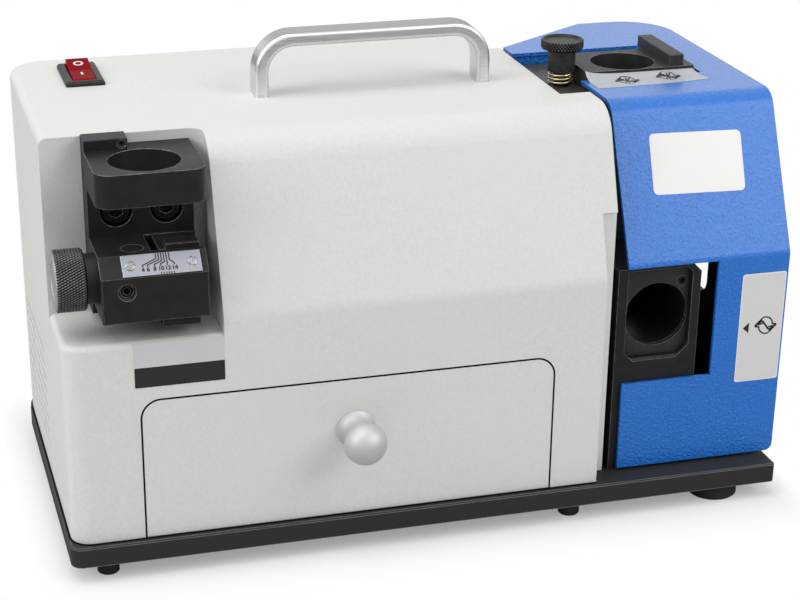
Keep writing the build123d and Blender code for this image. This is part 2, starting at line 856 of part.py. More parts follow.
with BuildPart() as housing_shell:
    with BuildSketch(Plane.YZ.offset(housing_left)) as side_outline:
        with BuildLine():
            Polyline(*housing_outline(0), close=True)
        make_face()
        fillet(corner_at(side_outline, (housing_front, slope_start)), front_bend_radius)
        fillet(corner_at(side_outline, (slope_back, housing_top)), top_bend_radius)
    extrude(amount=housing_length)
    with BuildSketch(Plane.XY.offset(recess_floor)) as recess_plan:
        with BuildLine():
            Polyline((plate_left, plate_front), (recess_right, plate_front), (recess_right, recess_back),
                     (plate_left, recess_back), close=True)
        make_face()
        fillet(corner_at(recess_plan, (recess_right, recess_back)), recess_corner_radius)
    extrude(amount=housing_top - recess_floor, mode=Mode.SUBTRACT)
    fillet(edge_at(housing_shell, (housing_left, housing_front, plate_top + housing_wall)),
           front_left_radius)
    fillet(edge_at(housing_shell, (housing_left, housing_back, slope_start)), rear_left_radius)
    fillet(edge_at(housing_shell, (housing_left, handle_y, housing_top)), top_edge_radius)
    fillet(edge_at(housing_shell, (recess_right - recess_corner_radius * 2, housing_front, recess_floor)),
           recess_edge_radius)
    block_between((top_lip_right, plate_right), (cheek_back, plate_back), (plate_top, housing_top),
                  Mode.SUBTRACT)
    block_between((bulkhead_right, plate_right), (rear_step_front, plate_back), (plate_top, housing_top),
                  Mode.SUBTRACT)
    block_between((front_notch_left, plate_right), (plate_front, front_notch_back),
                  (plate_top, front_notch_top), Mode.SUBTRACT)
    add(housing_cavity.part, mode=Mode.SUBTRACT)
    with BuildSketch(Plane.XZ.offset(-housing_front)) as drawer_opening:
        with BuildLine():
            Polyline((drawer_left, plate_top), (drawer_right, plate_top), (drawer_right, drawer_top),
                     (drawer_left, drawer_top), close=True)
        make_face()
        fillet(drawer_opening.vertices().group_by(Axis.Y)[-1], drawer_corner_radius)
    extrude(amount=-housing_wall, mode=Mode.SUBTRACT)
    with BuildSketch(Plane.YZ.offset(housing_left)):
        with Locations((housing_back - side_vent_back_inset, plate_top + side_vent_height)):
            with GridLocations(0, side_vent_pitch, 1, side_vent_count):
                SlotOverall(side_vent_length, side_vent_width)
    extrude(amount=housing_wall, mode=Mode.SUBTRACT)
    with BuildSketch(Plane.XZ.offset(-housing_back)):
        with Locations((housing_left + rear_vent_left_offset, plate_top + rear_vent_height)):
            with GridLocations(rear_vent_pitch, 0, rear_vent_count, 1):
                SlotOverall(rear_vent_length, rear_vent_width, rotation=90)
        with Locations((inlet_x, inlet_z)):
            Rectangle(inlet_width + 2 * plate_gap, inlet_tall + 2 * plate_gap)
    extrude(amount=housing_wall, mode=Mode.SUBTRACT)
    with Locations((switch_x, switch_y, housing_top)):
        Box(switch_body_width + 2 * plate_gap, switch_body_length + 2 * plate_gap, 2 * housing_wall,
            mode=Mode.SUBTRACT)
    with Locations(*[(x, handle_y, housing_top) for x in handle_xs]):
        Cylinder(handle_screw_radius + screw_gap, 2 * housing_wall, mode=Mode.SUBTRACT)
    with Locations(*[Plane((x, recess_back, bracket_screw_z), z_dir=(0, 1, 0)) for x in bracket_screw_xs]):
        Cylinder(bracket_screw_radius + screw_gap, bracket_pad_thickness, mode=Mode.SUBTRACT,
                 align=(Align.CENTER, Align.CENTER, Align.MIN))
    with Locations(*[(x, y, plate_top) for x, y in shell_bosses]):
        Cylinder(base_screw_radius + screw_gap, base_screw_bite + tip_gap, mode=Mode.SUBTRACT,
                 align=(Align.CENTER, Align.CENTER, Align.MIN))
    with Locations(Plane((bulkhead_left, spindle_y, spindle_z), z_dir=(1, 0, 0))):
        Cylinder(spindle_hole_radius, housing_wall, mode=Mode.SUBTRACT,
                 align=(Align.CENTER, Align.CENTER, Align.MIN))
housing_shell.part.label = "housing_shell"
export_step(housing_shell.part, "parts/housing_shell.step")

# Mains inlet, seen from behind
with BuildPart() as mains_inlet:
    block_between((inlet_x - inlet_width / 2, inlet_x + inlet_width / 2),
                  (housing_back - inlet_depth, housing_back),
                  (inlet_z - inlet_tall / 2, inlet_z + inlet_tall / 2))
    with BuildSketch(Plane.XZ.offset(-housing_back)):
        with Locations((inlet_x, inlet_z)):
            RectangleRounded(inlet_flange_width, inlet_flange_tall, inlet_corner_cut)
    extrude(amount=-inlet_flange_thickness)
    with BuildSketch(Plane.XZ.offset(-housing_back - inlet_flange_thickness)) as mouth:
        with Locations((inlet_x, inlet_z)):
            Rectangle(inlet_mouth_width, inlet_mouth_tall)
        chamfer(mouth.vertices().group_by(Axis.Y)[-1], inlet_corner_cut)
    extrude(amount=inlet_mouth_depth, mode=Mode.SUBTRACT)
mains_inlet.part.label = "mains_inlet"
export_step(mains_inlet.part, "parts/mains_inlet.step")

pin_root_y = housing_back + inlet_flange_thickness - inlet_mouth_depth
inlet_pin_places = [
    (inlet_x - inlet_pin_pitch, inlet_z - inlet_pin_rise),
    (inlet_x, inlet_z + inlet_pin_rise),
    (inlet_x + inlet_pin_pitch, inlet_z - inlet_pin_rise),
]
with BuildPart() as inlet_pins:
    for x, z in inlet_pin_places:
        block_between((x - inlet_pin_width / 2, x + inlet_pin_width / 2),
                      (pin_root_y, pin_root_y + inlet_pin_length),
                      (z - inlet_pin_height / 2, z + inlet_pin_height / 2))
inlet_pins.part.label = "inlet_pins"
export_step(inlet_pins.part, "parts/inlet_pins.step")

# Switch body and rocker
rocker_pivot_z = housing_top
well_width = rocker_width + 2 * rocker_side_gap
well_length = rocker_length + 2 * rocker_end_gap
with BuildPart() as switch_body:
    block_between((switch_x - switch_body_width / 2, switch_x + switch_body_width / 2),
                  (switch_y - switch_body_length / 2, switch_y + switch_body_length / 2),
                  (housing_top - switch_body_depth, housing_top))
    with BuildSketch(Plane.XY.offset(housing_top)):
        with Locations((switch_x, switch_y)):
            RectangleRounded(bezel_width, bezel_length, bezel_chamfer)
    extrude(amount=bezel_height)
    chamfer(switch_body.faces().sort_by(Axis.Z)[-1].edges(), bezel_chamfer)
    block_between((switch_x - well_width / 2, switch_x + well_width / 2),
                  (switch_y - well_length / 2, switch_y + well_length / 2),
                  (housing_top + bezel_height - rocker_well_depth, housing_top + bezel_height),
                  Mode.SUBTRACT)
    with Locations(Plane((switch_x, switch_y, rocker_pivot_z), z_dir=(1, 0, 0))):
        Cylinder(rocker_pin_radius + running_gap, well_width + 2 * rocker_pin_bite + 2 * running_gap,
                 mode=Mode.SUBTRACT)
switch_body.part.label = "switch_body"
export_step(switch_body.part, "parts/switch_body.step")

rocker_axis = Axis((switch_x, switch_y, rocker_pivot_z), (1, 0, 0))
with BuildPart() as upright_rocker:
    with BuildSketch(Plane.YZ.offset(switch_x - rocker_width / 2)):
        with BuildLine():
            half = rocker_length / 2
            Polyline((switch_y - half, rocker_pivot_z), (switch_y - half, rocker_pivot_z + rocker_end_rise),
                     (switch_y, rocker_pivot_z + rocker_centre_rise),
                     (switch_y + half, rocker_pivot_z + rocker_end_rise), (switch_y + half, rocker_pivot_z))
            ThreePointArc((switch_y + half, rocker_pivot_z), (switch_y, rocker_pivot_z - rocker_belly),
                          (switch_y - half, rocker_pivot_z))
        make_face()
    extrude(amount=rocker_width)
    fillet(upright_rocker.edges().filter_by(Axis.X).group_by(Axis.Z)[-1], rocker_edge_radius)
    with Locations(Plane((switch_x, switch_y, rocker_pivot_z), z_dir=(1, 0, 0))):
        Cylinder(rocker_pin_radius, well_width + 2 * rocker_pin_bite)
with BuildPart() as rocker:
    add(upright_rocker.part.rotate(rocker_axis, rocker_tilt))
rocker.part.label = "rocker"
export_step(rocker.part, "parts/rocker.step")

# Carrying handle
handle_top = housing_top + handle_rise
with BuildPart() as carry_handle:
    with BuildSketch(Plane.XZ.offset(-handle_y - handle_depth / 2)):
        with BuildLine():
            outer_left = handle_xs[0] - handle_thickness / 2
            outer_right = handle_xs[1] + handle_thickness / 2
            inner_left = outer_left + handle_thickness
            inner_right = outer_right - handle_thickness
            inner_radius = handle_corner_radius - handle_thickness
            FilletPolyline((outer_left, housing_top), (outer_left, handle_top), (outer_right, handle_top),
                           (outer_right, housing_top), radius=handle_corner_radius)
            FilletPolyline((inner_left, housing_top), (inner_left, handle_top - handle_thickness),
                           (inner_right, handle_top - handle_thickness), (inner_right, housing_top),
                           radius=inner_radius)
            Line((outer_left, housing_top), (inner_left, housing_top))
            Line((outer_right, housing_top), (inner_right, housing_top))
        make_face()
    extrude(amount=handle_depth)
    side_edges = carry_handle.edges().group_by(Axis.Y)
    rounded_edges = side_edges[0] + side_edges[-1]
    rounded_edges = rounded_edges.filter_by_position(Axis.Z, housing_top + handle_edge_radius, handle_top)
    fillet(rounded_edges, handle_edge_radius)
    with Locations(*[(x, handle_y, housing_top) for x in handle_xs]):
        Cylinder(handle_screw_radius + screw_gap, handle_screw_bite + tip_gap, mode=Mode.SUBTRACT,
                 align=(Align.CENTER, Align.CENTER, Align.MIN))
carry_handle.part.label = "carry_handle"
export_step(carry_handle.part, "parts/carry_handle.step")

handle_screw = socket_screw(handle_screw_radius, housing_wall + handle_screw_bite, handle_screw_head_radius,
                            handle_screw_head_height)
with BuildPart() as handle_screws:
    with Locations(*[Plane((x, handle_y, housing_top - housing_wall), z_dir=(0, 0, -1))
                     for x in handle_xs]):
        add(handle_screw)
handle_screws.part.label = "handle_screws"
export_step(handle_screws.part, "parts/handle_screws.step")

# Drawer
with BuildPart() as drawer_front:
    with BuildSketch(Plane.XZ.offset(-housing_front)) as drawer_face:
        with BuildLine():
            Polyline((drawer_left + drawer_gap, plate_top + drawer_gap),
                     (drawer_right - drawer_gap, plate_top + drawer_gap),
                     (drawer_right - drawer_gap, drawer_top - drawer_gap),
                     (drawer_left + drawer_gap, drawer_top - drawer_gap), close=True)
        make_face()
        fillet(drawer_face.vertices().group_by(Axis.Y)[-1], drawer_corner_radius - drawer_gap)
    extrude(amount=-drawer_front_thickness)
    with Locations(Plane((knob_x, housing_front, knob_centre_z), z_dir=(0, 1, 0))):
        Cylinder(knob_screw_radius + screw_gap, 2 * drawer_front_thickness, mode=Mode.SUBTRACT)
drawer_front.part.label = "drawer_front"
export_step(drawer_front.part, "parts/drawer_front.step")

with BuildPart() as drawer_tray:
    block_between((tray_left, tray_right), (tray_front, tray_back), (tray_bottom, tray_top))
    block_between((tray_left + tray_sheet, tray_right - tray_sheet),
                  (tray_front + tray_sheet, tray_back - tray_sheet),
                  (tray_bottom + tray_sheet, tray_top), Mode.SUBTRACT)
    with Locations(Plane((knob_x, tray_front, knob_centre_z), z_dir=(0, 1, 0))):
        Cylinder(knob_screw_head_radius + knob_screw_relief, 2 * tray_sheet, mode=Mode.SUBTRACT)
drawer_tray.part.label = "drawer_tray"
export_step(drawer_tray.part, "parts/drawer_tray.step")

with BuildPart() as drawer_knob:
    with BuildSketch(Plane((knob_x, housing_front, knob_centre_z), x_dir=(1, 0, 0), z_dir=(0, 0, 1))):
        with BuildLine():
            flange = Polyline((0, 0), (knob_flange_radius, 0), (knob_flange_radius, -knob_flange_length))
            cove_end = (knob_neck_radius, -knob_flange_length - knob_cove_length)
            TangentArc(cove_end, flange @ 1, tangent=(0, 1))
            neck = Line(cove_end, (knob_neck_radius, -knob_shoulder + knob_flare_length))
            flare = Line(neck @ 1, (knob_head_radius - knob_lip_inset, -knob_shoulder))
            lip = Line(flare @ 1, (knob_head_radius, -knob_shoulder - knob_lip_length))
            TangentArc((0, -knob_length), lip @ 1, tangent=(1, 0))
            Line((0, -knob_length), (0, 0))
        make_face()
    revolve(axis=Axis((knob_x, housing_front, knob_centre_z), (0, 1, 0)))
    with Locations(Plane((knob_x, housing_front, knob_centre_z), z_dir=(0, -1, 0))):
        Cylinder(knob_screw_radius + screw_gap, knob_screw_bite + tip_gap, mode=Mode.SUBTRACT,
                 align=(Align.CENTER, Align.CENTER, Align.MIN))
drawer_knob.part.label = "drawer_knob"
export_step(drawer_knob.part, "parts/drawer_knob.step")

knob_screw_part = socket_screw(knob_screw_radius, drawer_front_thickness + knob_screw_bite,
                               knob_screw_head_radius, knob_screw_head_height)
with BuildPart() as knob_screw:
    with Locations(Plane((knob_x, tray_front, knob_centre_z), z_dir=(0, 1, 0))):
        add(knob_screw_part)
knob_screw.part.label = "knob_screw"
export_step(knob_screw.part, "parts/knob_screw.step")

with BuildPart() as drawer_runners:
    runner_sides = ((tray_left - runner_sheet - plate_gap, 1), (tray_right + runner_sheet + plate_gap, -1))
    for outer, inward in runner_sides:
        flange_span = sorted((outer, outer + inward * runner_width))
        web_span = sorted((outer, outer + inward * runner_sheet))
        runner_ys = (housing_front + housing_wall + runner_front_inset, tray_back)
        block_between(flange_span, runner_ys, (plate_top, plate_top + runner_sheet))
        block_between(web_span, runner_ys, (plate_top, plate_top + runner_height))
drawer_runners.part.label = "drawer_runners"
export_step(drawer_runners.part, "parts/drawer_runners.step")

# Setting bracket with the chuck seat
with BuildPart() as setting_bracket:
    block_between((seat_left, seat_left + seat_width), (seat_front, recess_back), (seat_bottom, seat_top))
    front_corners = setting_bracket.edges().filter_by(Axis.Z).group_by(Axis.Y)[0]
    fillet(front_corners, seat_corner_radius)
    block_between((seat_left, bracket_right), (bracket_front, recess_back), (bracket_bottom, seat_top))
    with Locations((*seat_bore, seat_bottom)):
        Cylinder(chuck_bore_radius, seat_thickness, mode=Mode.SUBTRACT,
                 align=(Align.CENTER, Align.CENTER, Align.MIN))
    with Locations(*[Plane((x, bracket_front, bracket_screw_z), z_dir=(0, -1, 0))
                     for x in bracket_screw_xs]):
        CounterBoreHole(bracket_screw_radius + screw_gap, bracket_counterbore_radius,
                        bracket_screw_head_height + plate_gap, bracket_thickness)
    block_screw_xs = [block_left + block_screw_margin, bracket_right - block_screw_margin]
    block_screw_z = block_bottom + block_screw_height
    with Locations(*[Plane((x, recess_back, block_screw_z), z_dir=(0, 1, 0)) for x in block_screw_xs]):
        CounterBoreHole(block_screw_radius + screw_gap, block_screw_head_radius + screw_gap,
                        block_screw_head_height + plate_gap, bracket_thickness)
setting_bracket.part.label = "setting_bracket"
export_step(setting_bracket.part, "parts/setting_bracket.step")

bracket_screw_length = bracket_thickness - bracket_screw_head_height - plate_gap + bracket_pad_thickness
bracket_screw = socket_screw(bracket_screw_radius, bracket_screw_length, bracket_screw_head_radius,
                             bracket_screw_head_height)
bracket_screw_y = bracket_front + bracket_screw_head_height + plate_gap
with BuildPart() as bracket_screws:
    with Locations(*[Plane((x, bracket_screw_y, bracket_screw_z), z_dir=(0, -1, 0))
                     for x in bracket_screw_xs]):
        add(bracket_screw)
bracket_screws.part.label = "bracket_screws"
export_step(bracket_screws.part, "parts/bracket_screws.step")

block_screw_y = recess_back - block_screw_head_height - plate_gap
block_screw = socket_screw(block_screw_radius, block_screw_y - bracket_front + block_screw_bite,
                           block_screw_head_radius, block_screw_head_height)
with BuildPart() as block_screws:
    with Locations(*[Plane((x, block_screw_y, block_screw_z), z_dir=(0, 1, 0)) for x in block_screw_xs]):
        add(block_screw)
block_screws.part.label = "block_screws"
export_step(block_screws.part, "parts/block_screws.step")

with BuildPart() as gauge_stop_bar:
    block_between((seat_left, seat_left + stop_bar_width), (stop_bar_front, recess_back),
                  (seat_top, seat_top + stop_bar_height))
    chamfer(gauge_stop_bar.edges().group_by(Axis.Z)[-1], stop_bar_edge)
    with Locations(Plane((stop_screw_x, stop_bar_front, stop_screw_z), z_dir=(0, -1, 0))):
        Hole(stop_screw_radius + screw_gap, depth=stop_screw_length)
gauge_stop_bar.part.label = "gauge_stop_bar"
export_step(gauge_stop_bar.part, "parts/gauge_stop_bar.step")

stop_screw = headless_screw(stop_screw_radius, stop_screw_length)
face_screw = headless_screw(face_screw_radius, face_screw_length)
with BuildPart() as set_screws:
    with Locations(Plane((stop_screw_x, stop_bar_front, stop_screw_z), z_dir=(0, -1, 0))):
        add(stop_screw)
    with Locations(Plane((face_screw_x, face_plate_front, face_screw_z), z_dir=(0, -1, 0))):
        add(face_screw)
set_screws.part.label = "set_screws"
export_step(set_screws.part, "parts/set_screws.step")

# Setting block
scale_plane = Plane(
    origin=(block_left + scale_plate_left + scale_plate_length / 2, block_front + block_incline / 2,
            block_shoulder + block_incline / 2),
    x_dir=(1, 0, 0), z_dir=(0, -1, 1))
scale_screw_pitch = scale_plate_length - 2 * scale_screw_inset
cover_plug_place = (block_left + cover_plug_left, block_front + cover_plug_setback, block_deck)
with BuildPart() as setting_block:
    with BuildSketch(Plane.YZ.offset(block_left)):
        with BuildLine():
            Polyline((block_front, block_bottom), (block_front, block_shoulder),
                     (block_front + block_incline, block_deck), (bracket_front, block_deck),
                     (bracket_front, block_bottom), close=True)
        make_face()
    extrude(amount=block_width)
    chamfer(setting_block.edges().filter_by(Axis.Z).group_by(Axis.Y)[0], block_edge)
    block_between((slot_left, block_right), (slot_front, slot_back), (slot_bottom, block_deck),
                  Mode.SUBTRACT)
    with Locations(Plane((block_left, screw_y, screw_z), z_dir=(1, 0, 0))):
        Cylinder(lead_screw_radius + running_gap, slot_left - block_left, mode=Mode.SUBTRACT,
                 align=(Align.CENTER, Align.CENTER, Align.MIN))
    with Locations(cover_plug_place):
        Hole(cover_plug_radius + running_gap, depth=cover_plug_depth)
    with Locations(Plane((lock_x, block_front, lock_z), z_dir=(0, -1, 0))):
        CounterBoreHole(lock_screw_radius + screw_gap, lock_counterbore_radius, lock_counterbore_depth,
                        lock_counterbore_depth + lock_screw_length)
    with Locations(*[Plane((x, bracket_front, block_screw_z), z_dir=(0, 1, 0)) for x in block_screw_xs]):
        Hole(block_screw_radius + screw_gap, depth=block_screw_bite + tip_gap)
    with Locations(scale_plane):
        with GridLocations(scale_screw_pitch, 0, 2, 1):
            Hole(scale_screw_radius + screw_gap, depth=scale_screw_bite)
setting_block.part.label = "setting_block"
export_step(setting_block.part, "parts/setting_block.step")

with BuildPart() as scale_plate:
    with BuildSketch(scale_plane):
        Rectangle(scale_plate_length, scale_plate_width)
        with GridLocations(scale_screw_pitch, 0, 2, 1):
            Circle(scale_screw_radius + screw_gap, mode=Mode.SUBTRACT)
    extrude(amount=scale_plate_thickness)
scale_plate.part.label = "scale_plate"
export_step(scale_plate.part, "parts/scale_plate.step")

scale_screw = socket_screw(scale_screw_radius, scale_plate_thickness + scale_screw_bite,
                           scale_screw_head_radius, scale_screw_head_height)
with BuildPart() as scale_screws:
    with Locations(scale_plane.offset(scale_plate_thickness)):
        with GridLocations(scale_screw_pitch, 0, 2, 1):
            add(scale_screw)
scale_screws.part.label = "scale_screws"
export_step(scale_screws.part, "parts/scale_screws.step")

with BuildPart() as slider:
    block_between((slider_start, slider_end), (slider_front, slot_back - slider_gap),
                  (slot_bottom + slider_gap, block_deck))
    block_between((slider_cap_start, slider_end), (slider_front, slider_front + slider_cap_depth),
                  (slot_bottom + slider_gap, block_deck + slider_cap_height))
    chamfer(slider.edges().group_by(Axis.Z)[-1], stop_bar_edge)
    with Locations(Plane((slider_start, screw_y, screw_z), z_dir=(1, 0, 0))):
        Cylinder(lead_screw_radius + running_gap, slider_length, mode=Mode.SUBTRACT,
                 align=(Align.CENTER, Align.CENTER, Align.MIN))
slider.part.label = "slider"
export_step(slider.part, "parts/slider.step")

with BuildPart() as cover_plug:
    with Locations(cover_plug_place):
        Cylinder(cover_plug_radius, cover_plug_depth, align=(Align.CENTER, Align.CENTER, Align.MAX))
cover_plug.part.label = "cover_plug"
export_step(cover_plug.part, "parts/cover_plug.step")

lock_screw_part = headless_screw(lock_screw_radius, lock_screw_length)
with BuildPart() as lock_screw:
    with Locations(Plane((lock_x, block_front + lock_counterbore_depth, lock_z), z_dir=(0, -1, 0))):
        add(lock_screw_part)
lock_screw.part.label = "lock_screw"
export_step(lock_screw.part, "parts/lock_screw.step")

with BuildPart() as heel_block:
    block_between((block_left + heel_left, block_left + heel_left + heel_width),
                  (block_front + heel_setback, block_front + heel_setback + heel_depth),
                  (block_bottom - heel_height, block_bottom))
heel_block.part.label = "heel_block"
export_step(heel_block.part, "parts/heel_block.step")

# Setting knob on its lead screw, held by a collar
with BuildPart() as setting_knob:
    with Locations(Plane((setting_knob_left, screw_y, screw_z), z_dir=(1, 0, 0))):
        Cylinder(setting_knob_radius, setting_knob_length, align=(Align.CENTER, Align.CENTER, Align.MIN))
    chamfer(setting_knob.edges().filter_by(GeomType.CIRCLE), setting_knob_chamfer)
    with Locations(Plane((setting_knob_right, screw_y, screw_z), z_dir=(-1, 0, 0))):
        Cylinder(lead_screw_radius + bearing_gap, setting_knob_grip, mode=Mode.SUBTRACT,
                 align=(Align.CENTER, Align.CENTER, Align.MIN))
setting_knob.part.label = "setting_knob"
export_step(setting_knob.part, "parts/setting_knob.step")

lead_screw_left = setting_knob_right - setting_knob_grip
with BuildPart() as lead_screw:
    with Locations(Plane((lead_screw_left, screw_y, screw_z), z_dir=(1, 0, 0))):
        Cylinder(lead_screw_radius, block_right - lead_screw_left,
                 align=(Align.CENTER, Align.CENTER, Align.MIN))
lead_screw.part.label = "lead_screw"
export_step(lead_screw.part, "parts/lead_screw.step")

with BuildPart() as knob_collar:
    with Locations(Plane((collar_left, screw_y, screw_z), z_dir=(1, 0, 0))):
        Cylinder(collar_radius, collar_length, align=(Align.CENTER, Align.CENTER, Align.MIN))
        Cylinder(lead_screw_radius + running_gap, collar_length, mode=Mode.SUBTRACT,
                 align=(Align.CENTER, Align.CENTER, Align.MIN))
knob_collar.part.label = "knob_collar"
export_step(knob_collar.part, "parts/knob_collar.step")

# Motor shelf, a bridge over the drawer
with BuildPart() as motor_shelf:
    block_between((shelf_left, shelf_right), (shelf_front, shelf_back), (shelf_bottom, shelf_top))
    for leg_left in (shelf_left, shelf_right - shelf_leg_thickness):
        block_between((leg_left, leg_left + shelf_leg_thickness), (shelf_front, shelf_back),
                      (plate_top, shelf_top))
    with Locations(*[(x, y, plate_top) for x, y in shelf_screws]):
        Cylinder(base_screw_radius + screw_gap, base_screw_bite + tip_gap, mode=Mode.SUBTRACT,
                 align=(Align.CENTER, Align.CENTER, Align.MIN))
motor_shelf.part.label = "motor_shelf"
export_step(motor_shelf.part, "parts/motor_shelf.step")

# Motor
motor_middle = (motor_left + motor_right) / 2
with BuildPart() as motor_body:
    with Locations(Plane((motor_left, spindle_y, spindle_z), z_dir=(1, 0, 0))):
        Cylinder(motor_radius, motor_length, align=(Align.CENTER, Align.CENTER, Align.MIN))
    block_between((motor_middle - motor_foot_length / 2, motor_middle + motor_foot_length / 2),
                  (spindle_y - motor_foot_width / 2, spindle_y + motor_foot_width / 2),
                  (shelf_top, spindle_z - stator_bore_radius))
    with Locations(Plane((motor_left, spindle_y, spindle_z), z_dir=(1, 0, 0))):
        Cylinder(stator_bore_radius, motor_length, mode=Mode.SUBTRACT,
                 align=(Align.CENTER, Align.CENTER, Align.MIN))
motor_body.part.label = "motor_body"
export_step(motor_body.part, "parts/motor_body.step")


def bell_section(face, outward):
    """Half section of the end bell on a motor face; outward is -1 to the left, 1 to the right."""
    seat_start = bell_length - bell_wall + bearing_sink - bearing_width
    seat_end = seat_start + bearing_width
    depths = [
        (0, motor_radius), (bell_length - bell_wall, motor_radius), (bell_length, motor_radius - bell_wall),
        (bell_length, bell_hole_radius), (seat_end, bell_hole_radius),
        (seat_end, bearing_radius + bearing_gap), (seat_start, bearing_radius + bearing_gap),
        (seat_start, bearing_radius + bell_wall), (bell_length - bell_wall, bearing_radius + bell_wall),
        (bell_length - bell_wall, motor_radius - bell_wall), (0, motor_radius - bell_wall),
    ]
    return [(face + outward * depth, radius) for depth, radius in depths]


motor_faces = ((motor_left, -1), (motor_right, 1))
bells = [turned(spindle_plane, spindle_axis, bell_section(face, outward)) for face, outward in motor_faces]
with BuildPart() as motor_bells:
    add(bells)
motor_bells.part.label = "motor_bells"
export_step(motor_bells.part, "parts/motor_bells.step")

bearing_middle = bell_length - bell_wall + bearing_sink - bearing_width / 2
with BuildPart() as bearings:
    with Locations(*[Plane((face + outward * bearing_middle, spindle_y, spindle_z), z_dir=(1, 0, 0))
                     for face, outward in motor_faces]):
        Cylinder(bearing_radius, bearing_width)
        Cylinder(shaft_radius + bearing_gap, bearing_width, mode=Mode.SUBTRACT)
bearings.part.label = "bearings"
export_step(bearings.part, "parts/bearings.step")

with BuildPart() as rotor:
    with Locations(Plane((motor_middle, spindle_y, spindle_z), z_dir=(1, 0, 0))):
        Cylinder(stator_bore_radius - rotor_gap, rotor_length)
        Cylinder(shaft_radius + bearing_gap, rotor_length, mode=Mode.SUBTRACT)
rotor.part.label = "rotor"
export_step(rotor.part, "parts/rotor.step")

fan_blade_length = fan_radius - fan_hub_radius
with BuildPart() as cooling_fan:
    with Locations(Plane((fan_right, spindle_y, spindle_z), z_dir=(-1, 0, 0))):
        Cylinder(fan_radius, fan_disc_thickness, align=(Align.CENTER, Align.CENTER, Align.MIN))
        Cylinder(fan_hub_radius, fan_width, align=(Align.CENTER, Align.CENTER, Align.MIN))
        with PolarLocations(fan_hub_radius - fan_blade_sink, fan_blade_count):
            Box(fan_blade_length, fan_blade_thickness, fan_width,
                align=(Align.MIN, Align.CENTER, Align.MIN))
        Cylinder(shaft_radius + bearing_gap, fan_width, mode=Mode.SUBTRACT,
                 align=(Align.CENTER, Align.CENTER, Align.MIN))
cooling_fan.part.label = "cooling_fan"
export_step(cooling_fan.part, "parts/cooling_fan.step")

with BuildPart() as spindle_shaft:
    with Locations(Plane((shaft_left, spindle_y, spindle_z), z_dir=(1, 0, 0))):
        Cylinder(shaft_radius, shaft_right - shaft_left, align=(Align.CENTER, Align.CENTER, Align.MIN))
    chamfer(spindle_shaft.edges().filter_by(GeomType.CIRCLE), shaft_chamfer)
spindle_shaft.part.label = "spindle_shaft"
export_step(spindle_shaft.part, "parts/spindle_shaft.step")

# Grinding wheel on the spindle's nose
with BuildPart() as wheel_flange:
    with Locations(Plane((flange_left, spindle_y, spindle_z), z_dir=(1, 0, 0))):
        Cylinder(wheel_flange_radius, wheel_flange_length, align=(Align.CENTER, Align.CENTER, Align.MIN))
        Cylinder(shaft_radius + bearing_gap, wheel_flange_length, mode=Mode.SUBTRACT,
                 align=(Align.CENTER, Align.CENTER, Align.MIN))
wheel_flange.part.label = "wheel_flange"
export_step(wheel_flange.part, "parts/wheel_flange.step")

with BuildPart() as wheel_body:
    with Locations(Plane((wheel_left, spindle_y, spindle_z), z_dir=(1, 0, 0))):
        Cylinder(wheel_body_radius, wheel_body_length, align=(Align.CENTER, Align.CENTER, Align.MIN))
        Cylinder(shaft_radius + bearing_gap, wheel_body_length, mode=Mode.SUBTRACT,
                 align=(Align.CENTER, Align.CENTER, Align.MIN))
    with Locations(Plane((nut_left, spindle_y, spindle_z), z_dir=(1, 0, 0))):
        Cylinder(wheel_recess_radius, wheel_recess_depth, mode=Mode.SUBTRACT,
                 align=(Align.CENTER, Align.CENTER, Align.MIN))
wheel_body.part.label = "wheel_body"
export_step(wheel_body.part, "parts/wheel_body.step")

with BuildPart() as abrasive_rim:
    with Locations(Plane((wheel_left, spindle_y, spindle_z), z_dir=(1, 0, 0))):
        Cylinder(rim_radius, rim_length, align=(Align.CENTER, Align.CENTER, Align.MIN))
        Cylinder(wheel_body_radius + bearing_gap, rim_length, mode=Mode.SUBTRACT,
                 align=(Align.CENTER, Align.CENTER, Align.MIN))
    chamfer(abrasive_rim.edges().filter_by(GeomType.CIRCLE).group_by(Axis.X)[-1].sort_by(SortBy.RADIUS)[-1],
            rim_chamfer)
abrasive_rim.part.label = "abrasive_rim"
export_step(abrasive_rim.part, "parts/abrasive_rim.step")

with BuildPart() as wheel_nut:
    with BuildSketch(Plane((nut_left, spindle_y, spindle_z), x_dir=(0, 1, 0), z_dir=(1, 0, 0))):
        RegularPolygon(nut_width / 2, 6, major_radius=False)
        Circle(shaft_radius + bearing_gap, mode=Mode.SUBTRACT)
    extrude(amount=nut_height)
wheel_nut.part.label = "wheel_nut"
export_step(wheel_nut.part, "parts/wheel_nut.step")

